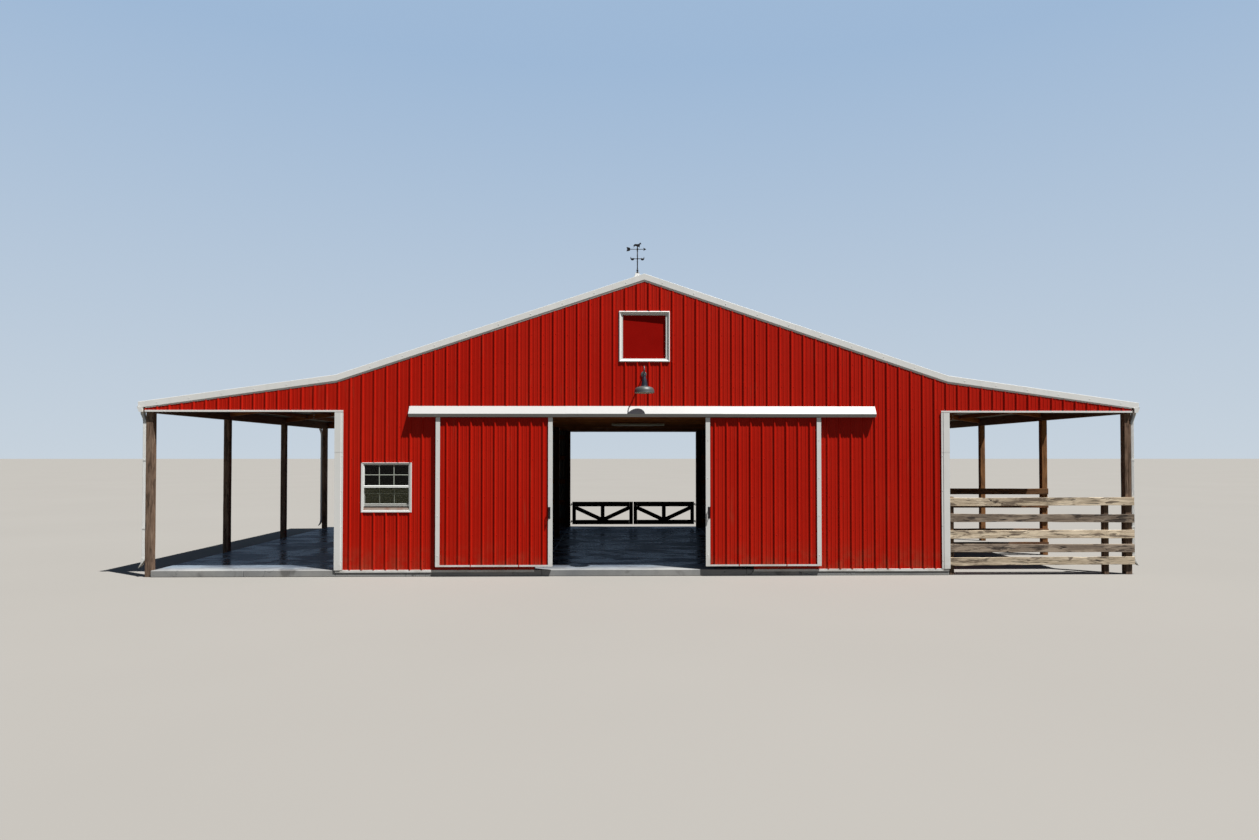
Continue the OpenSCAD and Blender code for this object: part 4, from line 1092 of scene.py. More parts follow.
S = Solid("bay_rafter_timbers")
for sx in (-1, 1):
    xs = (HW + 0.001, BAYX - POST - 0.001)
    ys = [(-4.523, 0.036), (4.523, 0.036)] + [(s * 1.524 + d, 0.037) for s in (-1, 1) for d in (-0.0192, 0.0192)]
    for y, w in ys:
        k += 1
        timber(S, (sx * xs[0], y, rund(xs[0]) - 0.070), (sx * xs[1], y, rund(xs[1]) - 0.060), (0, 1, 0), (0, 0, 1), w, 0.139, k, h1=0.119, warp=0.0004, wane=0.001, c=0.002, step=0.4)
    for y in (-1.524, 1.524):
        for x in (6.3, 7.4, 8.6):
            for dz in (-0.035, -0.100):
                bolt(S, (sx * x, y - 0.038, rund(x) + dz), (0, -1, 0), 0.008, mat=1)
S.make([FRAME_X, GALV], replaces=["bay_rafters"])
S = Solid("bay_purlins")
for sx in (-1, 1):
    for x in (6.350, 6.960, 7.570, 8.180, 8.790):
        for a, b in ((-4.504, -1.562), (-1.486, 1.486), (1.562, 4.504)):
            k += 1
            timber(S, (sx * x, a + 0.001, rund(x + 0.019) - 0.0455), (sx * x, b - 0.001, rund(x + 0.019) - 0.0455), (1, 0, 0), (0, 0, 1), 0.037, 0.088, k, warp=0.0008, wane=0.001, c=0.002, step=0.5)
            for y, d in ((a, 1), (b, -1)):
                cbox(S, (sx * (x - 0.0215), y, rund(x) - 0.085), (sx * (x + 0.0215), y + d * 0.045, rund(x) - 0.081 - 0.008), 0.001, mat=1)
                cbox(S, (sx * (x - 0.0215), y, rund(x) - 0.093), (sx * (x - 0.0190), y + d * 0.045, rund(x) - 0.020), 0.0006, mat=1)
                cbox(S, (sx * (x + 0.0190), y, rund(x) - 0.093), (sx * (x + 0.0215), y + d * 0.045, rund(x) - 0.020), 0.0006, mat=1)
S.make([FRAME_Y, GALV], replaces=["bay_rafters"])

S = Solid("inner_post_timbers")
for sx in (-1, 1):
    for y in (-4.442, -1.524, 1.524, 4.442):
        k += 1
        timber(S, (sx * 5.740, y, SLAB), (sx * 5.740, y, rund(5.81) - 0.001), (1, 0, 0), (0, 1, 0), 0.138, 0.138, k, c=0.005, warp=0.0005, wane=0.001, check=0.010, step=0.14)
    for x, y in ((2.170, -4.442), (2.120, -1.524), (2.120, 1.524), (2.000, 4.442)):
        k += 1
        timber(S, (sx * x, y, SLAB), (sx * x, y, 3.060), (1, 0, 0), (0, 1, 0), 0.138, 0.138, k, c=0.005, warp=0.0008, wane=0.001, check=0.010, step=0.12)
S.make([INNER_WOOD], replaces=["inner_posts"])

JOISTS = [-4.272 + i * 8.544 / 14 for i in range(15)]
S = Solid("loft_joist_timbers")
for y in JOISTS:
    for a, b in ((-5.631, -2.12), (-2.118, 2.118), (2.12, 5.631)):
        k += 1
        timber(S, (a, y, 3.1525), (b, y, 3.1525), (0, 1, 0), (0, 0, 1), 0.037, 0.184, k, warp=0.0006, c=0.002, step=0.9)
S.make([FRAME_X], replaces=["loft_joists"])
S = Solid("loft_rim_beams")
for sx in (-1, 1):
    for a, b in ((-4.511, 0.0), (0.0, 4.511)):
        k += 1
        timber(S, (sx * 5.651, a, 3.1525), (sx * 5.651, b - 0.001, 3.1525), (1, 0, 0), (0, 0, 1), 0.037, 0.184, k, warp=0.0, c=0.002, step=0.9)
S.make([FRAME_Y], replaces=["loft_joists"])
S = Solid("loft_deck_boards")
rnd = random.Random(11)
for i in range(81):
    x0 = -5.670 + i * 0.140
    cut = rnd.choice(JOISTS[3:12])
    for a, b in ((-4.511, cut - 0.0008), (cut + 0.0008, 4.511)):
        S.tint = rnd.random()
        cbox(S, (x0 + 0.0012, a, 3.245), (x0 + 0.1388, b, 3.270 - rnd.uniform(0, 0.0008)), 0.0015)
for sx in (-1, 1):
    for a, b in ((-4.371, -1.595), (-1.453, 1.453), (1.595, 4.371)):
        S.tint = rnd.random()
        cbox(S, (sx * 5.6712, a, 3.245), (sx * 5.809, b, 3.2696), 0.0015)
S.make([DECK_W], replaces=["loft_deck"])
S = Solid("main_rafter_timbers")
for y in (-4.442, -1.524, 1.524, 4.442):
    for sx in (-1, 1):
        for d in (-0.0192, 0.0192):
            k += 1
            x1 = 5.669
            timber(S, (sx * 0.0012, y + d, rund(0.0012) - 0.0955), (sx * x1, y + d, rund(x1) - 0.0925), (0, 1, 0), (0, 0, 1), 0.037, 0.189, k, h1=0.183, warp=0.0004, c=0.002, step=0.9)
S.make([FRAME_X], replaces=["main_rafters"])

# ------------------------------------------------------------------ gutters and downspouts
S = Solid("gutter_troughs")
TR = [(9.6120, 3.2440), (9.6060, 3.2500), (9.6085, 3.2560), (9.6190, 3.2560), (9.6210, 3.2520), (9.6210, 3.2180), (9.6130, 3.2090), (9.6020, 3.2020), (9.5960, 3.1860), (9.5930, 3.1700), (9.5840, 3.1560), (9.5760, 3.1510), (9.5080, 3.1505), (9.5050, 3.1530), (9.5050, 3.2360)]
TR = [(9.505 + (x - 9.505) * 0.86, z) for x, z in TR]
for sx in (-1, 1):
    pl = (lambda a, b, s: (a, s, b)) if sx > 0 else (lambda a, b, s: (-a, s, b))
    for a, b, e in ((-4.594, -1.6, 0.0), (-1.65, 1.65, 0.0012), (1.6, 4.594, 0.0)):
        strip(S, [(x + (e if x > 9.55 else 0), z - (e if z < 3.16 else 0)) for x, z in TR], 0.0013, [a, b], pl)
    for y0, y1 in ((-4.5970, -4.5935), (4.5935, 4.5970)):
        out = [(9.5050, 3.2360), (9.6048, 3.2420)] + TR[5:14]
        sweep(S, [[(sx * x, y, z) for x, z in out] for y in (y0, y1)])
    for i in range(15):
        y = -4.27 + i * 0.61
        cbox(S, (sx * 9.5055, y - 0.012, 3.2385), (sx * 9.5990, y + 0.012, 3.2410), 0.0008, mat=1)
        cbox(S, (sx * 9.5042, y - 0.012, 3.1900), (sx * 9.5070, y + 0.012, 3.2400), 0.0008, mat=1)
Solid.low = 0.025
S.make([WHITE, GALV], replaces=["gutters"])
Solid.low = 0.0


def pipe_section(hx, hy, r=0.006, groove=0.0022):
    """Outline of a fluted rectangular pipe."""
    pts = []

    def side(p, q, n):
        d = Vector((q[0] - p[0], q[1] - p[1]))
        L = d.length
        d /= L
        nrm = Vector((d.y, -d.x))
        m = 4
        for i in range(m):
            c = r + (L - 2 * r) * (i + 0.5) / m
            w = (L - 2 * r) / m * 0.28
            for s, g in ((-w, 0.0), (-w * 0.5, groove), (w * 0.5, groove), (w, 0.0)):
                pp = Vector(p) + d * (c + s) - nrm * g
                pts.append((pp.x, pp.y))
    cs = [(-hx, -hy), (hx, -hy), (hx, hy), (-hx, hy)]
    for i in range(4):
        p, q = cs[i], cs[(i + 1) % 4]
        d = Vector((q[0] - p[0], q[1] - p[1])).normalized()
        pts.append((p[0] + d.x * r, p[1] + d.y * r))
        side(p, q, 4)
        pts.append((q[0] - d.x * r, q[1] - d.y * r))
    return pts


S = Solid("downspout_pipes")
OUT, INN = pipe_section(0.030, 0.040), pipe_section(0.0285, 0.0385)
for sx in (-1, 1):
    for sy in (-1, 1):
        def ring(x, z, tilt, k=1.0, sec=OUT):
            t = math.radians(tilt)      # turn of the pipe's axis in the X-Z plane
            return [(sx * (x + a * k * math.cos(t)), sy * 4.497 + b * k, z + a * k * math.sin(t)) for a, b in sec]
        P = [(9.547, 3.127, 0, 1.0), (9.547, 3.100, 0, 1.0), (9.5465, 3.090, 4, 1.05), (9.543, 3.074, 14, 1.05), (9.530, 3.045, 21, 1.05), (9.514, 3.000, 21, 1.05), (9.502, 2.966, 14, 1.05),
             (9.4978, 2.945, 4, 1.05), (9.4975, 2.915, 0, 1.05), (9.4975, 2.913, 0, 1.0), (9.4975, 2.2, 0, 1.0), (9.4975, 1.4, 0, 1.0), (9.4975, 0.372, 0, 1.0), (9.4975, 0.370, 0, 1.05),
             (9.4980, 0.330, -3, 1.05), (9.503, 0.300, -12, 1.05), (9.520, 0.262, -27, 1.05), (9.545, 0.222, -33, 1.05), (9.572, 0.182, -36, 1.05)]
        rings = [ring(*p) for p in P] + [ring(9.572, 0.182, -36, 1.05, INN), ring(9.545, 0.222, -33, 1.05, INN), ring(9.520, 0.262, -27, 1.0, INN)]
        sweep(S, rings)
        for z in (0.915, 2.215):
            x0, x1, y = 9.465, 9.5300, sy * 4.497
            cbox(S, (sx * x0, y - 0.0430, z - 0.015), (sx * x1, y - 0.0412, z + 0.015), 0.0005)
            cbox(S, (sx * x0, y + 0.0412, z - 0.015), (sx * x1, y + 0.0430, z + 0.015), 0.0005)
            cbox(S, (sx * (x1 - 0.0012), y - 0.0430, z - 0.015), (sx * (x1 + 0.0008), y + 0.0430, z + 0.015), 0.0005)
            for d in (-1, 1):
                cbox(S, (sx * 9.4655, y + d * 0.0412, z - 0.015), (sx * 9.4672, y + d * 0.066 if abs(y + d * 0.066) < 4.55 else y + d * 0.045, z + 0.015), 0.0005)
S.make([WHITE], replaces=["downspouts"])

# ------------------------------------------------------------------ sliding doors, their cover and track
TRACK = 4.455
COVER = [(-0.0810, 3.0345), (-0.0882, 3.0300), (-0.0908, 3.0315), (-0.1096, 3.0870), (-0.1101, 3.0905), (-0.1090, 3.0940), (-0.0160, 3.2390), (-0.0140, 3.2415), (-0.0040, 3.2430)]


def cover(name, flip, nodes, x0, x1):
    S = Solid(name, flip)
    pl = lambda a, b, s: (s, -HD + a, b)
    for i, (a, b) in enumerate(((x0, -1.46), (-1.50, 1.50), (1.46, x1))):
        e = 0.0014 if i == 1 else 0.0
        strip(S, [(y - e, z + e) for y, z in COVER], 0.0015, [a + 0.001, (a + b) / 2, b - 0.001], pl)
    for a, b in ((x0, x0 + 0.0025), (x1 - 0.0025, x1)):
        q = [(0.0, 3.2410), (-0.0145, 3.2385), (-0.1085, 3.0905), (-0.0895, 3.0330), (-0.0810, 3.0345), (-0.0300, 3.0600), (0.0, 3.1100)]
        sweep(S, [[(x, -HD + y, z) for y, z in q] for x in (a, b)])
    n = Vector((0, -0.842, 0.540))
    for x in [-4.3 + i * 0.6143 for i in range(15)]:
        screw(S, (x, -HD - 0.0258, 3.2240), n, 0.0045, 0.0030)
    S.make([COVER_WHITE_DIMMED], replaces=nodes)


def track(name, flip, nodes, x0, x1):
    S = Solid(name, flip)
    pl = lambda a, b, s: (s, -HD + a, b)
    path = [(-0.0500, 3.0875), (-0.0500, 3.0765), (-0.0635, 3.0765), (-0.0635, 3.1455), (-0.0155, 3.1455), (-0.0155, 3.0765), (-0.0290, 3.0765), (-0.0290, 3.0875)]
    for a, b in ((x0, -1.4345), (-1.4335, 1.5575), (1.5585, x1)):
        strip(S, path, 0.0028, [a, b], pl)
    for x in (-4.30, -3.44, -2.58, -1.72, -0.86, 0, 0.86, 1.72, 2.58, 3.44, 4.30):
        cbox(S, (x - 0.030, -HD - 0.0655, 3.1458), (x + 0.030, -HD + 0.002, 3.1515), 0.0012)
        cbox(S, (x - 0.030, -HD - 0.0055, 3.1000), (x + 0.030, -HD + 0.002, 3.1515), 0.0012)
        cbox(S, (x - 0.030, -HD - 0.0668, 3.1050), (x + 0.030, -HD - 0.0637, 3.1515), 0.0010)
        for z in (3.115, 3.138):
            bolt(S, (x, -HD - 0.0052, z), (0, -1, 0), 0.006)
    S.make([GALV], replaces=nodes)


cover("front_track_cover", False, ["track_cover"], -4.480, 4.445)
cover("back_track_cover", True, ["rear_track_cover"], -TRACK, TRACK)
track("front_door_track", False, ["door_track"], -4.458, 4.415)
track("back_door_track", True, ["rear_track_cover"], -4.425, 4.425)

DW, DZ0, DZ1 = 2.214, 0.188, 3.024
RAILS = (0.255, 0.79, 1.51, 2.23, 2.955)


def door(name, x0, body, nodes, phase, flip=False, seed=300):
    x1 = x0 + DW
    S = Solid(name + "_sheet", flip)
    sheets(S, x0 + 0.004, x1 - 0.004, phase, lambda u: DZ0 + 0.006, lambda u: DZ1 - 0.006, lambda u, h, z: (u, -HD - 0.0500 - h, z), lap=4, shift=2)
    for u in rib_lines(x0 + 0.06, x1 - 0.12, phase):
        for z in RAILS[1:4]:
            screw(S, (u + 0.034, -HD - 0.0504, z + random.Random(int(u * 1000 + z * 100)).uniform(-0.006, 0.006)), (0, -1, 0))
    S.make(SHEET, body, replaces=nodes)
    T = Solid(name + "_trim", flip)
    e = 0.082
    side = [(e - 0.003, -0.0680), (e, -0.0715), (0.0, -0.0715), (0.0, -0.0195), (0.038, -0.0195)]
    zs = [DZ0, (DZ0 + DZ1) / 2, DZ1]
    strip(T, [(x0 + a, -HD + b) for a, b in side], 0.0015, zs, lambda a, b, s: (a, b, s))
    strip(T, [(x0 + a, -HD + b) for a, b in side], 0.0015, zs, lambda a, b, s: (x0 + x1 - a, b, s))
    xs = [x0 + 0.0835, x1 - 0.0835]
    low = [(0.031, -0.0670), (0.034, -0.0702), (0.0008, -0.0702), (0.0008, -0.0205), (0.030, -0.0205)]
    strip(T, [(-HD + b, DZ0 + a) for a, b in low], -0.0015, [x0 + 0.0020, x1 - 0.0020], lambda a, b, s: (s, a, b))
    top = [(0.009, -0.0688), (0.0008, -0.0702), (0.0008, -0.0205), (0.030, -0.0205)]
    strip(T, [(-HD + b, DZ1 - 0.004 - a) for a, b in top], 0.0015, [x0 + 0.0020, x1 - 0.0020], lambda a, b, s: (s, a, b), mat=1)
    for z in (0.40, 1.15, 1.87, 2.59):
        for x in (x0 + 0.041, x1 - 0.041):
            screw(T, (x, -HD - 0.0713, z), (0, -1, 0))
    T.make([WHITE, RED], body, replaces=nodes)
    F = Solid(name + "_frame", flip)
    y = -HD - 0.0350
    for i, z in enumerate(RAILS):
        h = 0.088 if 0 < i < 4 else 0.110
        timber(F, (x0 + 0.091, y, z), (x1 - 0.091, y, z), (0, 1, 0), (0, 0, 1), 0.0265, h, seed + i, warp=0.0, c=0.002, step=0.8)
    for i, x in enumerate((x0 + 0.046, x1 - 0.046)):
        timber(F, (x, y, DZ0 + 0.006), (x, y, DZ1 - 0.006), (1, 0, 0), (0, 1, 0), 0.086, 0.0265, seed + 8 + i, warp=0.0, c=0.002, step=0.8)
    F.make([FRAME_X], body, replaces=nodes)


def fittings(name, x0, pull_x, body, nodes, flip=False):
    S = Solid(name, flip)
    for h in (x0 + 0.320, x0 + DW - 0.320):
        cbox(S, (h - 0.040, -HD - 0.0420, 2.9400), (h + 0.040, -HD - 0.0370, 3.1250), 0.0012)
        cbox(S, (h - 0.055, -HD - 0.0420, 2.9300), (h + 0.055, -HD - 0.0370, 3.0180), 0.0012)
        rod(S, (h, -HD - 0.0550, 3.108), (h, -HD - 0.0240, 3.108), 0.0052, 12)
        for y in (-0.0545, -0.0320):
            lathe_y(S, (h, -HD + y, 3.108), 0.0075, 0.0230)
    if pull_x is not None:
        y = -HD - 0.0713
        cbox(S, (pull_x - 0.022, y - 0.0040, 1.100), (pull_x + 0.022, y + 0.001, 1.320), 0.0012)
        for z in (1.130, 1.290):
            rod(S, (pull_x, y - 0.003, z), (pull_x, y - 0.038, z), 0.0070, 12)
        tube(S, [(pull_x, y - 0.0345, 1.108), (pull_x, y - 0.036, 1.114), (pull_x, y - 0.0365, 1.210), (pull_x, y - 0.036, 1.306), (pull_x, y - 0.0345, 1.312)], 0.0088, 14)
        for z in (1.108, 1.168, 1.252, 1.312):
            for dx in (-0.014, 0.014):
                screw(S, (pull_x + dx, y - 0.0036, z), (0, -1, 0), 0.004, 0.0025)
    S.make([IRON], body, replaces=nodes)


def lathe_y(S, c, w, r, seg=20):
    """A grooved wheel with its axle along Y."""
    st = [(0.0, r * 0.35), (0.0, r - 0.003), (w * 0.12, r - 0.0008), (w * 0.30, r), (w * 0.5, r - 0.0018), (w * 0.70, r), (w * 0.88, r - 0.0008), (w, r - 0.003), (w, r * 0.35)]
    sweep(S, [[(c[0] + rr * math.cos(2 * math.pi * q / seg), c[1] + d, c[2] + rr * math.sin(2 * math.pi * q / seg)) for q in range(seg)] for d, rr in st], smooth=False)


LX, RX = -3.966, 1.173
door("left_door", LX, "left_door", ["left_door"], -3.760)
door("right_door", RX, "right_door", ["right_door"], 1.350, seed=330)
fittings("left_door_iron", LX, LX + DW - 0.060, "left_door", ["left_door_fittings"])
fittings("right_door_iron", RX, RX + 0.060, "right_door", ["right_door_fittings"])
for s, x0 in (("a", -4.430), ("b", 2.216)):
    door("back_door_" + s, x0, "root", ["rear_doors"], x0 + 0.231, flip=True, seed=360)
    fittings("back_door_iron_" + s, x0, None, "root", ["rear_doors"], flip=True)

# ------------------------------------------------------------------ window


def picture(S, x0, x1, z0, z1, prof, widths=(1, 1, 1, 1), mat=0, mats=None):
    """A mitred frame: prof is a closed outline of (inset, y), and widths scale the insets at the left, the right, the bottom and the top."""
    wl, wr, wb, wt = widths
    rings = [[(x0 + i * wl, y, z0 + i * wb) for i, y in prof], [(x1 - i * wr, y, z0 + i * wb) for i, y in prof],
             [(x1 - i * wr, y, z1 - i * wt) for i, y in prof], [(x0 + i * wl, y, z1 - i * wt) for i, y in prof]]
    sweep(S, rings, mat, loop=True)


S = Solid("window_casing")
yf = -HD - 0.012
prof = [(0.0, -HD + 0.0085), (0.0, yf + 0.004), (0.003, yf), (0.018, yf), (0.0205, yf + 0.0025), (0.034, yf + 0.0025), (0.0365, yf + 0.006), (0.0435, yf + 0.006), (0.046, yf + 0.009), (0.046, -HD + 0.060), (0.0405, -HD + 0.060), (0.0405, -HD + 0.0085)]
picture(S, -5.391, -4.433, 1.216, 2.165, prof, (1, 1, 45 / 46, 29 / 46))
# sloping sill under the lower sash
q = [(-HD + 0.0010, 1.2575), (-HD - 0.0025, 1.2620), (-HD - 0.0015, 1.2670), (-HD + 0.0120, 1.3105), (-HD + 0.0310, 1.3130), (-HD + 0.0600, 1.3140), (-HD + 0.0600, 1.2575)]
sweep(S, [[(x, y, z) for y, z in q] for x in (-5.3460, -4.4780)], mat=1)
BAR = ((-0.0075, 0.0125), (-0.0075, 0.0080), (-0.0045, 0.0055), (0.0045, 0.0055), (0.0075, 0.0080), (0.0075, 0.0125))
B = Solid("window_bars")
for z0, z1, y0, foot, head, zb in ((1.692, 2.136, -HD + 0.002, 0.038, 0.018, 1.928), (1.341, 1.740, -HD + 0.032, 0.044, 0.048, 1.572)):
    pr = [(0.0, y0 + 0.028), (0.0, y0 + 0.001), (0.001, y0), (0.021, y0), (0.0262, y0 + 0.006), (0.027, y0 + 0.008), (0.027, y0 + 0.028)]
    picture(S, -5.3445, -4.4795, z0, z1, pr, (0.62, 0.62, foot / 0.027, head / 0.027))
    gx0, gx1, gz0, gz1 = -5.328, -4.496, z0 + foot, z1 - head
    for i in (1, 2):
        x = gx0 + (gx1 - gx0) * i / 3
        sweep(B, [[(x + a, y0 + b, z) for a, b in BAR] for z in (gz0 - 0.002, gz1 + 0.002)])
    sweep(B, [[(x, y0 + b + 0.0004, zb + a) for a, b in BAR] for x in (gx0 - 0.002, gx1 + 0.002)])
cbox(S, (-4.957, -HD + 0.030, 1.740), (-4.877, -HD + 0.052, 1.752), 0.003)
S.make([VINYL, SILL_SHADE_AND_REFLECTION], replaces=["window_frame"])
B.make([BARS])
S = Solid("window_panes")
cbox(S, (-5.3300, -HD + 0.0145, 1.7275), (-4.4940, -HD + 0.0180, 2.1200), 0.0008)
cbox(S, (-5.3300, -HD + 0.0445, 1.3825), (-4.4940, -HD + 0.0480, 1.6945), 0.0008)
S.make([GLASS_SHADE_TINT], replaces=["window_glass"])
S = Solid("window_weather_strip")
cbox(S, (-5.344, -HD + 0.0460, 1.3125), (-4.480, -HD + 0.0560, 1.3425), 0.002)
S.make([FOAM_AND_SHADE_BLACK])
S = Solid("window_screen")
cbox(S, (-5.338, -HD + 0.0045, 1.341), (-4.486, -HD + 0.0055, 1.688), 0.0003)
S.make([SCREEN])
S = Solid("window_screen_frame")
picture(S, -5.3445, -4.4795, 1.3350, 1.6915, [(0.0, -HD + 0.0080), (0.0, -HD + 0.0010), (0.0010, -HD), (0.0080, -HD), (0.0090, -HD + 0.0010), (0.0090, -HD + 0.0080)], (1, 1, 0.6, 0.6))
S.make([VINYL])

# ------------------------------------------------------------------ loft hatch
S = Solid("hatch_surround")
yf = -HD - 0.018
prof = [(0.0, -HD + 0.0085), (0.0, yf + 0.010), (0.014, yf), (0.0185, yf), (0.0215, yf + 0.002), (0.0505, yf + 0.0215), (0.0535, yf + 0.0240), (0.0750, yf + 0.0245), (0.078, yf + 0.0275), (0.078, -HD + 0.058), (0.056, -HD + 0.058), (0.056, -HD + 0.0085)]
picture(S, -0.490, 0.490, 4.095, 5.074, prof, (1, 1, 0.066 / 0.078, 0.076 / 0.078))
S.make([HATCH_W], replaces=["hatch_frame"])
# the panel leans in a little at the right and isn't quite flat
S = Solid("hatch_panel")
nx, nz = 22, 22
rnd = random.Random(41)
wob = [[rnd.uniform(-0.0012, 0.0012) for _ in range(5)] for _ in range(5)]


def hatch_y(x, z):
    u, v = (x + 0.410) / 0.820 * 4, (z - 4.163) / 0.834 * 4
    i, j = min(3, int(u)), min(3, int(v))
    fu, fv = (1 - math.cos(math.pi * (u - i))) / 2, (1 - math.cos(math.pi * (v - j))) / 2
    w = wob[i][j] * (1 - fu) * (1 - fv) + wob[i + 1][j] * fu * (1 - fv) + wob[i][j + 1] * (1 - fu) * fv + wob[i + 1][j + 1] * fu * fv
    return -HD + 0.0210 + 0.0190 * (x + 0.410) / 0.820 + w


xs = [-0.410, -0.4085] + [-0.405 + 0.810 * i / nx for i in range(nx + 1)] + [0.4085, 0.410]
zs = [4.163, 4.1645] + [4.168 + 0.824 * i / nz for i in range(nz + 1)] + [4.9955, 4.997]
edge = lambda i, n: {0: 0.0020, 1: 0.0005, n - 2: 0.0005, n - 1: 0.0020}.get(i, 0.0)
vs = [(x, hatch_y(x, z) + max(edge(i, len(xs)), edge(j, len(zs))), z) for i, x in enumerate(xs) for j, z in enumerate(zs)]
n = len(vs)
vs += [(x, hatch_y(x, z) + 0.0150, z) for x in xs for z in zs]
m = len(zs)
fs = []
for i in range(len(xs) - 1):
    for j in range(m - 1):
        a, b, c, d = i * m + j, (i + 1) * m + j, (i + 1) * m + j + 1, i * m + j + 1
        fs += [[a, b, c, d], [n + d, n + c, n + b, n + a]]
for j in range(m - 1):
    fs += [[j, j + 1, n + j + 1, n + j], [(len(xs) - 1) * m + j + 1, (len(xs) - 1) * m + j, n + (len(xs) - 1) * m + j, n + (len(xs) - 1) * m + j + 1]]
for i in range(len(xs) - 1):
    fs += [[(i + 1) * m, i * m, n + i * m, n + (i + 1) * m], [i * m + m - 1, (i + 1) * m + m - 1, n + (i + 1) * m + m - 1, n + i * m + m - 1]]
S.add(vs, fs, 0)
S.make([HATCH], replaces=["loft_hatch"])

# ------------------------------------------------------------------ barn lamp
LPX = -0.011
reach, rim, up = 0.310, 3.475, math.radians(31)
bend = 0.070
arm_l = (reach - bend * (1 + math.sin(up)) - 0.010) / math.cos(up)
bz = 3.856 + arm_l * math.sin(up) - bend * math.cos(up)
S = Solid("lamp_gooseneck")
Y = lambda d: -HD - d
pts = [(LPX, Y(0.004), 3.8555), (LPX, Y(0.010 + arm_l * math.cos(up)), 3.856 + arm_l * math.sin(up))]
for i in range(1, 13):
    t = (math.radians(90) + up) * (1 - i / 12)
    pts.append((LPX, Y(reach - bend + bend * math.cos(t)), bz + bend * math.sin(t)))
pts.append((LPX, Y(reach), rim + 0.345))
tube(S, pts, 0.0105, 18)
# wall plate: a stepped round canopy
seg = 40
st = [(-0.004, 0.052), (0.003, 0.055), (0.008, 0.055), (0.011, 0.050), (0.014, 0.030), (0.020, 0.018), (0.026, 0.0155)]
sweep(S, [[(LPX + rr * math.cos(2 * math.pi * q / seg), Y(d), 3.856 + rr * math.sin(2 * math.pi * q / seg)) for q in range(seg)] for d, rr in st], smooth=False)
for s in (-1, 1):
    screw(S, (LPX + s * 0.040, Y(0.0100), 3.856), (0, -1, 0), 0.005, 0.003)
e0 = Vector((LPX, Y(0.010 + arm_l * math.cos(up)), 3.856 + arm_l * math.sin(up)))
d0 = Vector((0, -math.cos(up), math.sin(up)))
rod(S, e0 - d0 * 0.016, e0 + d0 * 0.012, 0.014, 18, bevel=0.002)
rod(S, (LPX, Y(reach), bz - 0.016), (LPX, Y(reach), bz + 0.012), 0.014, 18, bevel=0.002)
S.make([LAMP], replaces=["lamp_arm"])
S = Solid("lamp_reflector")
neck = [(0.0, 0.350), (0.0140, 0.350), (0.0180, 0.3480), (0.0205, 0.3420), (0.0225, 0.3300), (0.0230, 0.3180), (0.0300, 0.2960), (0.0390, 0.2640), (0.0470, 0.2320), (0.0520, 0.2050), (0.0560, 0.1800), (0.0590, 0.1600), (0.0612, 0.1400), (0.0635, 0.1340), (0.0650, 0.1300), (0.0650, 0.1270), (0.0640, 0.1245)]
shade = [(0.0665, 0.1240), (0.0800, 0.1205), (0.1000, 0.1155), (0.1250, 0.1090), (0.1480, 0.1010), (0.1640, 0.0890), (0.1750, 0.0740), (0.1830, 0.0520), (0.1870, 0.0300), (0.1885, 0.0100), (0.1895, 0.0060), (0.1912, 0.0030), (0.1912, -0.0005), (0.1895, -0.0025), (0.1870, -0.0015), (0.1862, 0.0030)]
inner = [(0.1845, 0.0300), (0.1803, 0.0510), (0.1725, 0.0722), (0.1618, 0.0866), (0.1465, 0.0982), (0.1240, 0.1062), (0.0990, 0.1124), (0.0780, 0.1170), (0.0620, 0.1192), (0.0, 0.1200)]
lathe(S, neck + shade + inner, (LPX, Y(reach), rim), 72, mats=[3] * (len(neck) - 1) + [0] * len(shade) + [1] * (len(inner) + 1))
rod(S, (LPX, Y(reach), rim + 0.1195), (LPX, Y(reach), rim + 0.100), 0.019, 20, mat=1)
lathe(S, [(0.0, 0.022), (0.012, 0.024), (0.022, 0.032), (0.026, 0.046), (0.024, 0.062), (0.016, 0.082), (0.013, 0.102), (0.0, 0.104)], (LPX, Y(reach), rim), 24, mat=2)
S.make([LAMP, LAMP_IN, BULB, NECK], replaces=["lamp_shade"])

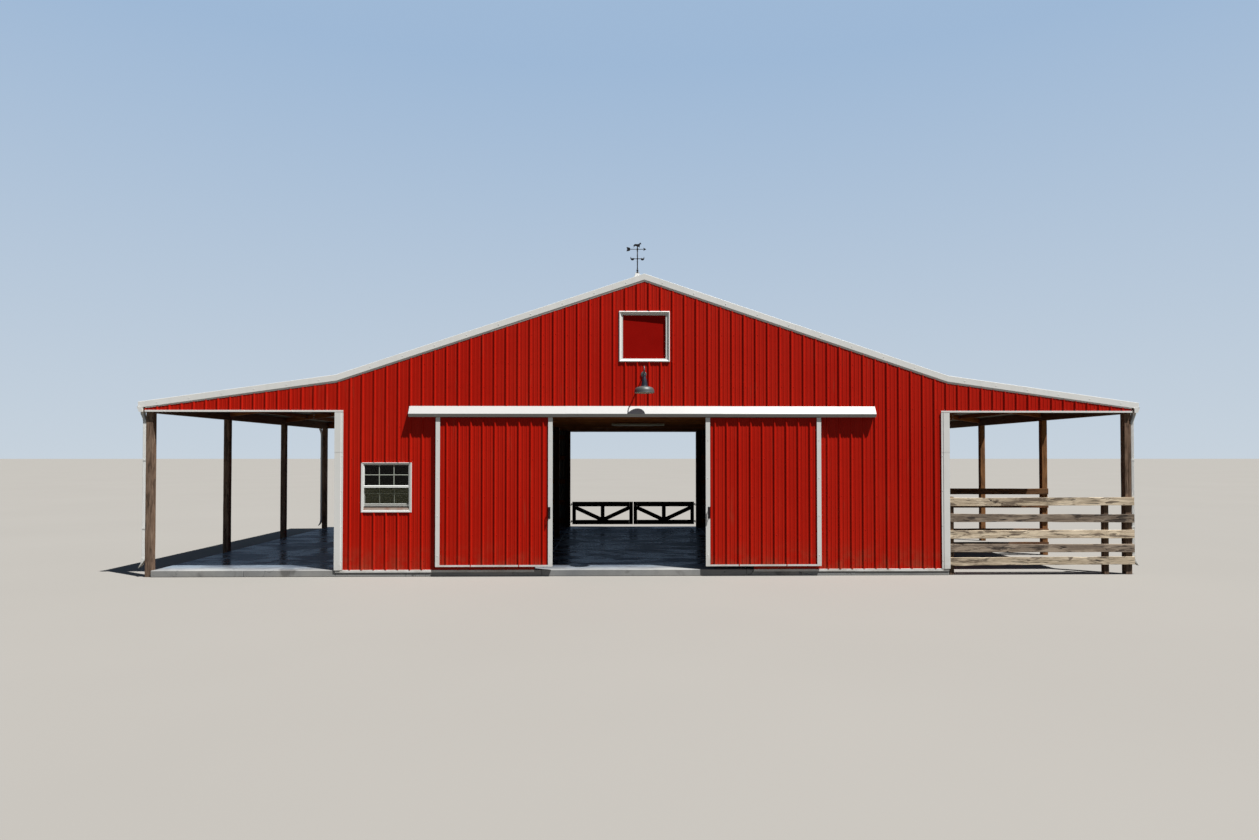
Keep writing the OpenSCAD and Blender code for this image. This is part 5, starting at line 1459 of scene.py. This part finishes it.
# ------------------------------------------------------------------ cupola
# the cupola and the vane are drawn 30 mm high and let down when they are made
Solid.low = 0.030
roof_at, rtop = rtop, lambda x: roof_at(x) + 0.030
S = Solid("cupola_louvred_box")
cb, ztop = 0.280, 6.350
for sx in (-1, 1):
    for sy in (-1, 1):
        x0, x1 = sorted((sx * (cb - 0.060), sx * cb))
        y0, y1 = sorted((sy * (cb - 0.060), sy * cb))
        zb = rtop(cb) - 0.012
        sweep(S, [[(x0 + 0.002, y0, z), (x1 - 0.002, y0, z), (x1, y0 + 0.002, z), (x1, y1 - 0.002, z), (x1 - 0.002, y1, z), (x0 + 0.002, y1, z), (x0, y1 - 0.002, z), (x0, y0 + 0.002, z)] for z in (zb, ztop)])
zl0, zl1 = 5.890, 6.270
for q in range(4):
    c, s = math.cos(q * math.pi / 2), math.sin(q * math.pi / 2)
    R = lambda x, y, z: (c * x - s * y, s * x + c * y, z)

    def rbox(lo, hi, ch=0.002, mat=0):
        T = Solid("t")
        cbox(T, lo, hi, ch)
        S.add([R(*p) for p in T.v], T.f, mat)
    rbox((-cb + 0.058, -cb + 0.004, zl1), (cb - 0.058, -cb + 0.040, ztop))
    zb = rtop(0 if q % 2 else 0) if False else (rtop(cb) - 0.012 if q in (1, 3) else rtop(0.0) - 0.10)
    rbox((-cb + 0.058, -cb + 0.004, rtop(cb) - 0.012), (cb - 0.058, -cb + 0.040, zl0))
    # a dark panel behind the louvres: painted shade standing in for the dark inside of the cupola
    rbox((-cb + 0.058, -cb + 0.060, rtop(cb) - 0.012), (cb - 0.058, -cb + 0.066, ztop), 0.001, 1)
    n = 9
    for i in range(n):
        z = zl0 + (zl1 - zl0) * (i + 0.5) / n
        T = [R(x, y, zz) for x in (-cb + 0.050, cb - 0.050) for y, zz in ((-cb + 0.010, z - 0.026), (-cb + 0.014, z - 0.030), (-cb + 0.056, z + 0.020), (-cb + 0.052, z + 0.024))]
        S.add(T, [[0, 1, 2, 3], [7, 6, 5, 4], [0, 4, 5, 1], [1, 5, 6, 2], [2, 6, 7, 3], [3, 7, 4, 0]], 0)
    # skirt flashing on the roof
    if q in (1, 3):
        T = [R(x, y, zz) for x in (-cb - 0.004, cb + 0.004) for y, zz in ((-cb - 0.060, rtop(cb + 0.06) - 0.003), (-cb - 0.0015, rtop(cb) + 0.012), (-cb - 0.0015, rtop(cb) + 0.070), (-cb + 0.002, rtop(cb) + 0.070), (-cb + 0.002, rtop(cb) - 0.010), (-cb - 0.060, rtop(cb + 0.06) - 0.010))]
        S.add(T, [[0, 1, 2, 3, 4, 5], [11, 10, 9, 8, 7, 6]] + [[i, 6 + i, 6 + (i + 1) % 6, (i + 1) % 6] for i in range(6)], 0)
    else:
        for sgn in (-1, 1):
            xs = [0.0, sgn * (cb + 0.004)]
            prof = lambda x: [R(x, -cb - 0.060, rtop(x) + 0.020), R(x, -cb - 0.0015, rtop(x) + 0.024), R(x, -cb - 0.0015, rtop(x) + 0.080), R(x, -cb + 0.002, rtop(x) + 0.080), R(x, -cb + 0.002, rtop(x) - 0.01), R(x, -cb - 0.060, rtop(x) - 0.004)]
            sweep(S, [prof(x) for x in xs])
cbox(S, (-0.390, -0.390, ztop), (0.390, 0.390, 6.3755), 0.004)
cbox(S, (-0.330, -0.330, ztop - 0.030), (0.330, 0.330, ztop + 0.001), 0.008)
S.make([WHITE, FOAM_AND_SHADE_BLACK], replaces=["cupola"])
S = Solid("cupola_flared_roof")
key = [(0.385, 6.3755), (0.240, 6.500), (0.125, 6.680), (0.028, 6.920)]


def bell(t):
    """Half width and height along the concave roof, t from 0 to 1."""
    p = [(2 * key[0][0] - key[1][0], 2 * key[0][1] - key[1][1])] + key + [(2 * key[3][0] - key[2][0], 2 * key[3][1] - key[2][1])]
    i = min(2, int(t * 3))
    u = t * 3 - i
    a, b, c, d = p[i], p[i + 1], p[i + 2], p[i + 3]
    return tuple(0.5 * (2 * b[j] + (c[j] - a[j]) * u + (2 * a[j] - 5 * b[j] + 4 * c[j] - d[j]) * u * u + (3 * b[j] - a[j] - 3 * c[j] + d[j]) * u ** 3) for j in (0, 1))


steps = [bell(i / 24) for i in range(25)]
steps[0] = (0.385, 6.3755)
sweep(S, [[(-w, -w, z), (w, -w, z), (w, w, z), (-w, w, z)] for w, z in steps])
for sx, sy in ((-1, -1), (1, -1), (1, 1), (-1, 1)):
    tube(S, [(sx * w, sy * w, z + 0.002) for w, z in steps], 0.008, 8)
for q in range(4):
    c, s = math.cos(q * math.pi / 2), math.sin(q * math.pi / 2)
    for f in (-0.5, 0.0, 0.5):
        rings = []
        for w, z in steps[:-1 if f == 0 else -5]:
            x, y = f * w, -w
            rings.append([(c * a - s * b, s * a + c * b, zz) for a, b, zz in ((x - 0.0035, y + 0.004, z), (x + 0.0035, y + 0.004, z), (x + 0.0035, y - 0.010, z + 0.010), (x - 0.0035, y - 0.010, z + 0.010))])
        sweep(S, rings)
S.make([CAP], replaces=["cupola"])

# ------------------------------------------------------------------ weather vane
S = Solid("vane_mast_iron")
lathe(S, [(0.0, -0.006), (0.046, -0.006), (0.048, 0.0), (0.044, 0.006), (0.024, 0.012), (0.0145, 0.030), (0.0, 0.030)], (0, 0, 6.920), 28)
rod(S, (0, 0, 6.915), (0, 0, 7.470), 0.0130, 16, bevel=0.0015)
rod(S, (0, 0, 7.468), (0, 0, 7.5295), 0.0058, 14, bevel=0.0015)
ball(S, (0, 0, 6.975), 0.026, 28)
for z, r in ((7.014, 0.020), (6.940, 0.020), (7.200, 0.018), (7.340, 0.018), (7.458, 0.018)):
    lathe(S, [(0.0, -0.006), (r - 0.003, -0.006), (r, -0.003), (r, 0.003), (r - 0.003, 0.006), (0.0, 0.006)], (0, 0, z), 24)
ball(S, (0, 0, 7.270), 0.024, 24)
for q in range(4):
    c, s = math.cos(q * math.pi / 2), math.sin(q * math.pi / 2)
    rod(S, (0.012 * c, 0.012 * s, 7.270), (0.130 * c, 0.130 * s, 7.270), 0.0080, 12, bevel=0.001)
    T = Solid("t")
    plate(T, [(0.118, 7.2600), (0.128, 7.2460), (0.150, 7.2410), (0.172, 7.2470), (0.186, 7.2640), (0.190, 7.2840), (0.184, 7.3000), (0.176, 7.3010), (0.176, 7.2840), (0.166, 7.2760), (0.150, 7.2800), (0.132, 7.2830), (0.120, 7.2780)], -0.004, 0.004, bev=0.0012)
    S.add([(c * x - s * y, s * x + c * y, z) for x, y, z in ((0.130 + (x - 0.154) * 1.30, y, 7.270 + (z - 7.270) * 1.5) for x, y, z in T.v)], T.f, 0)
    ball(S, (0.062 * c, 0.062 * s, 7.270), 0.0120, 12)
S.make([IRON], replaces=["vane_mast"])

HORSE = [(-12, 0), (12, 0), (14, 26), (40, 24), (48, 2), (58, 4), (54, 32), (66, 50), (60, 74), (72, 92), (92, 86), (100, 98),
         (84, 122), (74, 134), (64, 128), (44, 104), (10, 92), (-50, 96), (-74, 92), (-96, 62), (-112, 40), (-104, 36), (-88, 56),
         (-82, 60), (-88, 38), (-100, 12), (-92, 8), (-76, 34), (-60, 46), (-30, 44), (-14, 34)]


def rounded(pts, k=0.22):
    """Cuts each corner of an outline with two points."""
    out, n = [], len(pts)
    for i in range(n):
        a, b, c = Vector(pts[i - 1]), Vector(pts[i]), Vector(pts[(i + 1) % n])
        out += [tuple(b + (a - b) * k), tuple(b + (c - b) * k)]
    return out


S = Solid("horse_and_arrow")
lathe(S, [(0.00615, -0.036), (0.0155, -0.036), (0.0170, -0.033), (0.0170, 0.030), (0.0140, 0.037), (0.0060, 0.040), (0.0, 0.040), (0.0, 0.036), (0.00615, 0.034)], (0, 0, 7.510), 28)
rod(S, (0.013, 0, 7.510), (0.166, 0, 7.510), 0.0080, 12, bevel=0.001)
rod(S, (-0.206, 0, 7.510), (-0.013, 0, 7.510), 0.0080, 12, bevel=0.001)
plate(S, rounded([(0.148, 7.468), (0.224, 7.510), (0.148, 7.552), (0.162, 7.510)], 0.10), -0.005, 0.005, bev=0.0012)
plate(S, rounded([(-0.278, 7.454), (-0.232, 7.462), (-0.182, 7.474), (-0.180, 7.546), (-0.232, 7.558), (-0.278, 7.566), (-0.256, 7.510)], 0.22), -0.005, 0.005, bev=0.0012)
plate(S, [(x / 1000, 7.546 + z / 1000) for x, z in rounded([(a, b) for a, b in HORSE], 0.20)], -0.005, 0.005, bev=0.0010)
S.make([IRON], "vane", replaces=["weather_vane"])

Solid.low, rtop = 0.0, roof_at

# ------------------------------------------------------------------ fences
S = Solid("front_fence_boards")
WANE = (0.012, 0.005, 0.003, 0.009, 0.004)
for i, z in enumerate((0.273, 0.520, 0.787, 1.098, 1.416)):
    tilt = (0.006, -0.004, 0.002, -0.008, 0.004)[i]
    timber(S, (5.8945, -4.5612, z - 0.009 - tilt), (9.4885, -4.5612, z - 0.009 + tilt), (0, 1, 0), (0, 0, 1), 0.034, 0.157 - WANE[i] * 0.6, 400 + i, c=0.003, warp=0.0025, wane=WANE[i], check=0.006, step=0.09, mat=(0, 3)[i % 2])
    for x in (5.93, 5.96, 8.945, 8.978):
        for d in (-0.04, 0.038):
            screw(S, (x, -4.5785, z + d), (0, -1, 0), 0.0045, 0.002, mat=1)
timber(S, (5.939, -4.497, 0.0), (5.939, -4.497, 1.500), (1, 0, 0), (0, 1, 0), 0.088, 0.088, 410, c=0.005, warp=0.001, wane=0.003, check=0.012, step=0.09, mat=2)
timber(S, (8.960, -4.492, 0.0), (8.960, -4.492, 1.440), (1, 0, 0), (0, 1, 0), 0.098, 0.098, 411, c=0.006, warp=0.002, wane=0.004, check=0.012, step=0.09, mat=2)
S.make([FENCE_PALE, IRON, FPOST_W, FENCE_W], replaces=["front_fence"])
S = Solid("inner_fence_boards")
for i, z in enumerate((0.235, 0.545, 0.855, 1.165, 1.475)):
    timber(S, (5.8885, -1.604, z + 0.003 * (i % 2)), (9.4645, -1.604, z - 0.002 * i), (0, 1, 0), (0, 0, 1), 0.028, 0.136, 420 + i, c=0.003, warp=0.001, wane=0.004, check=0.005, step=0.12)
    for x in (5.905, 5.940, 9.40):
        for d in (-0.035, 0.035):
            screw(S, (x, -1.618, z + d), (0, -1, 0), 0.0045, 0.002, mat=1)
timber(S, (5.9265, -1.5435, 0.0), (5.9265, -1.5435, 1.560), (1, 0, 0), (0, 1, 0), 0.066, 0.088, 430, c=0.005, warp=0.0005, wane=0.002, check=0.010, step=0.12, mat=2)
S.make([INNER_FENCE_W, IRON, FPOST_W], replaces=["inner_fence"])

# ------------------------------------------------------------------ rear gates
GZ0, GZ1, GY = 0.195, 0.885, 4.500


def gate(name, sx, body, node):
    S = Solid(name)
    x0, x1 = -1.868, -0.010
    xm = (x0 + x1) / 2
    m = lambda x: sx * -x if sx > 0 else x          # drawn for the left leaf
    T = (0, 1, 0)
    kk = 500 if sx < 0 else 520

    def rail(xa, xb, z, h, y=GY, w=0.030, seed=0):
        timber(S, (m(xa), y, z), (m(xb), y, z), T, (0, 0, 1), w, h, kk + seed, c=0.003, warp=0.001, wane=0.0015, check=0.002, step=0.2)

    def stile(x, za, zb, w, seed):
        timber(S, (m(x), GY, za), (m(x), GY, zb), (1, 0, 0), T, w, 0.036, kk + seed, c=0.003, warp=0.0008, wane=0.001, check=0.003, step=0.15, mat=1)
    stile(x0 + 0.0555, GZ0, GZ1, 0.110, 1)
    stile(x1 - 0.0555, GZ0, GZ1, 0.110, 2)
    rail(x0 + 0.112, x1 - 0.112, GZ1 - 0.0725, 0.145, seed=3)
    rail(x0 + 0.112, x1 - 0.112, GZ0 + 0.0675, 0.135, seed=4)
    stile(xm, GZ0 + 0.1365, GZ1 - 0.1465, 0.119, 5)
    for s, xa in ((1, x0 + 0.112), (-1, x1 - 0.112)):
        a, b = Vector((m(xa), GY, GZ1 - 0.182)), Vector((m(xm - s * 0.064), GY, GZ0 + 0.160))
        d = (b - a).normalized()
        up = Vector((0, 1, 0)).cross(d)
        timber(S, a - d * 0.012, b + d * 0.016, T, up, 0.028, 0.118, kk + 7 + s, c=0.003, warp=0.001, wane=0.001, check=0.002, step=0.2)
    for h in (0.270, 0.790):
        cbox(S, (m(-1.900), 4.4745, h + 0.004), (m(-1.600), 4.4808, h + 0.040), 0.0015, mat=2)
        cbox(S, (m(-1.892), 4.4805, h + 0.004), (m(-1.8685), 4.4945, h + 0.040), 0.0015, mat=2)
        ring_z = [[(m(-1.900) + r * math.cos(a), 4.500 + r * math.sin(a), h + dz) for r, dz in ((0.0074, 0.002), (0.0120, 0.002), (0.0120, 0.042), (0.0074, 0.042))] for a in [2 * math.pi * q / 20 for q in range(20)]]
        sweep(S, ring_z, mat=2, loop=True)
        for x in (-1.82, -1.74, -1.64):
            bolt(S, (m(x), 4.4748, h + 0.022), (0, -1, 0), 0.007, mat=2)
    S.make([GATE_X, GATE_Z, IRON], body, replaces=[node])


gate("gate_leaf_left", -1, "gate_left", "gate_left")
gate("gate_leaf_right", 1, "gate_right", "gate_right")
S = Solid("gate_pin_brackets")
for sx in (-1, 1):
    for h in (0.270, 0.790):
        cbox(S, (sx * 1.900, 4.488, h - 0.022), (sx * 1.930, 4.512, h - 0.004), 0.002)
        rod(S, (sx * 1.900, 4.500, h - 0.022), (sx * 1.900, 4.500, h + 0.052), 0.0070, 16, bevel=0.0012)
        rod(S, (sx * 1.900, 4.500, h - 0.024), (sx * 1.900, 4.500, h - 0.0005), 0.0118, 16, bevel=0.0015)
S.make([IRON], replaces=["gate_pins"])

# ------------------------------------------------------------------ strip light
S = Solid("ceiling_strip_light")
q = [(-1.450, 2.998), (-1.446, 2.994), (-1.434, 3.000), (-1.418, 3.014), (-1.362, 3.014), (-1.346, 3.000), (-1.334, 2.994), (-1.330, 2.998), (-1.340, 3.036), (-1.344, 3.040), (-1.436, 3.040), (-1.440, 3.036)]
sweep(S, [[(x, y, z) for y, z in q] for x in (-0.638, 0.578)])
for x0, x1 in ((-0.640, -0.600), (0.540, 0.580)):
    cbox(S, (x0, -1.4505, 2.990), (x1, -1.3295, 3.0405), 0.003)
for y in (-1.4180, -1.3620):
    rod(S, (-0.602, y, 2.9985), (0.542, y, 2.9985), 0.0125, 16, mat=1)
for x in (-0.500, 0.440):
    tube(S, [(x, -1.420, 3.039), (x, -1.390, 3.056), (x, -1.360, 3.039)], 0.003, 8)
    rod(S, (x, -1.390, 3.040), (x, -1.390, 3.060), 0.003, 8)
S.make([HOUSING, BULB], replaces=["strip_light"])
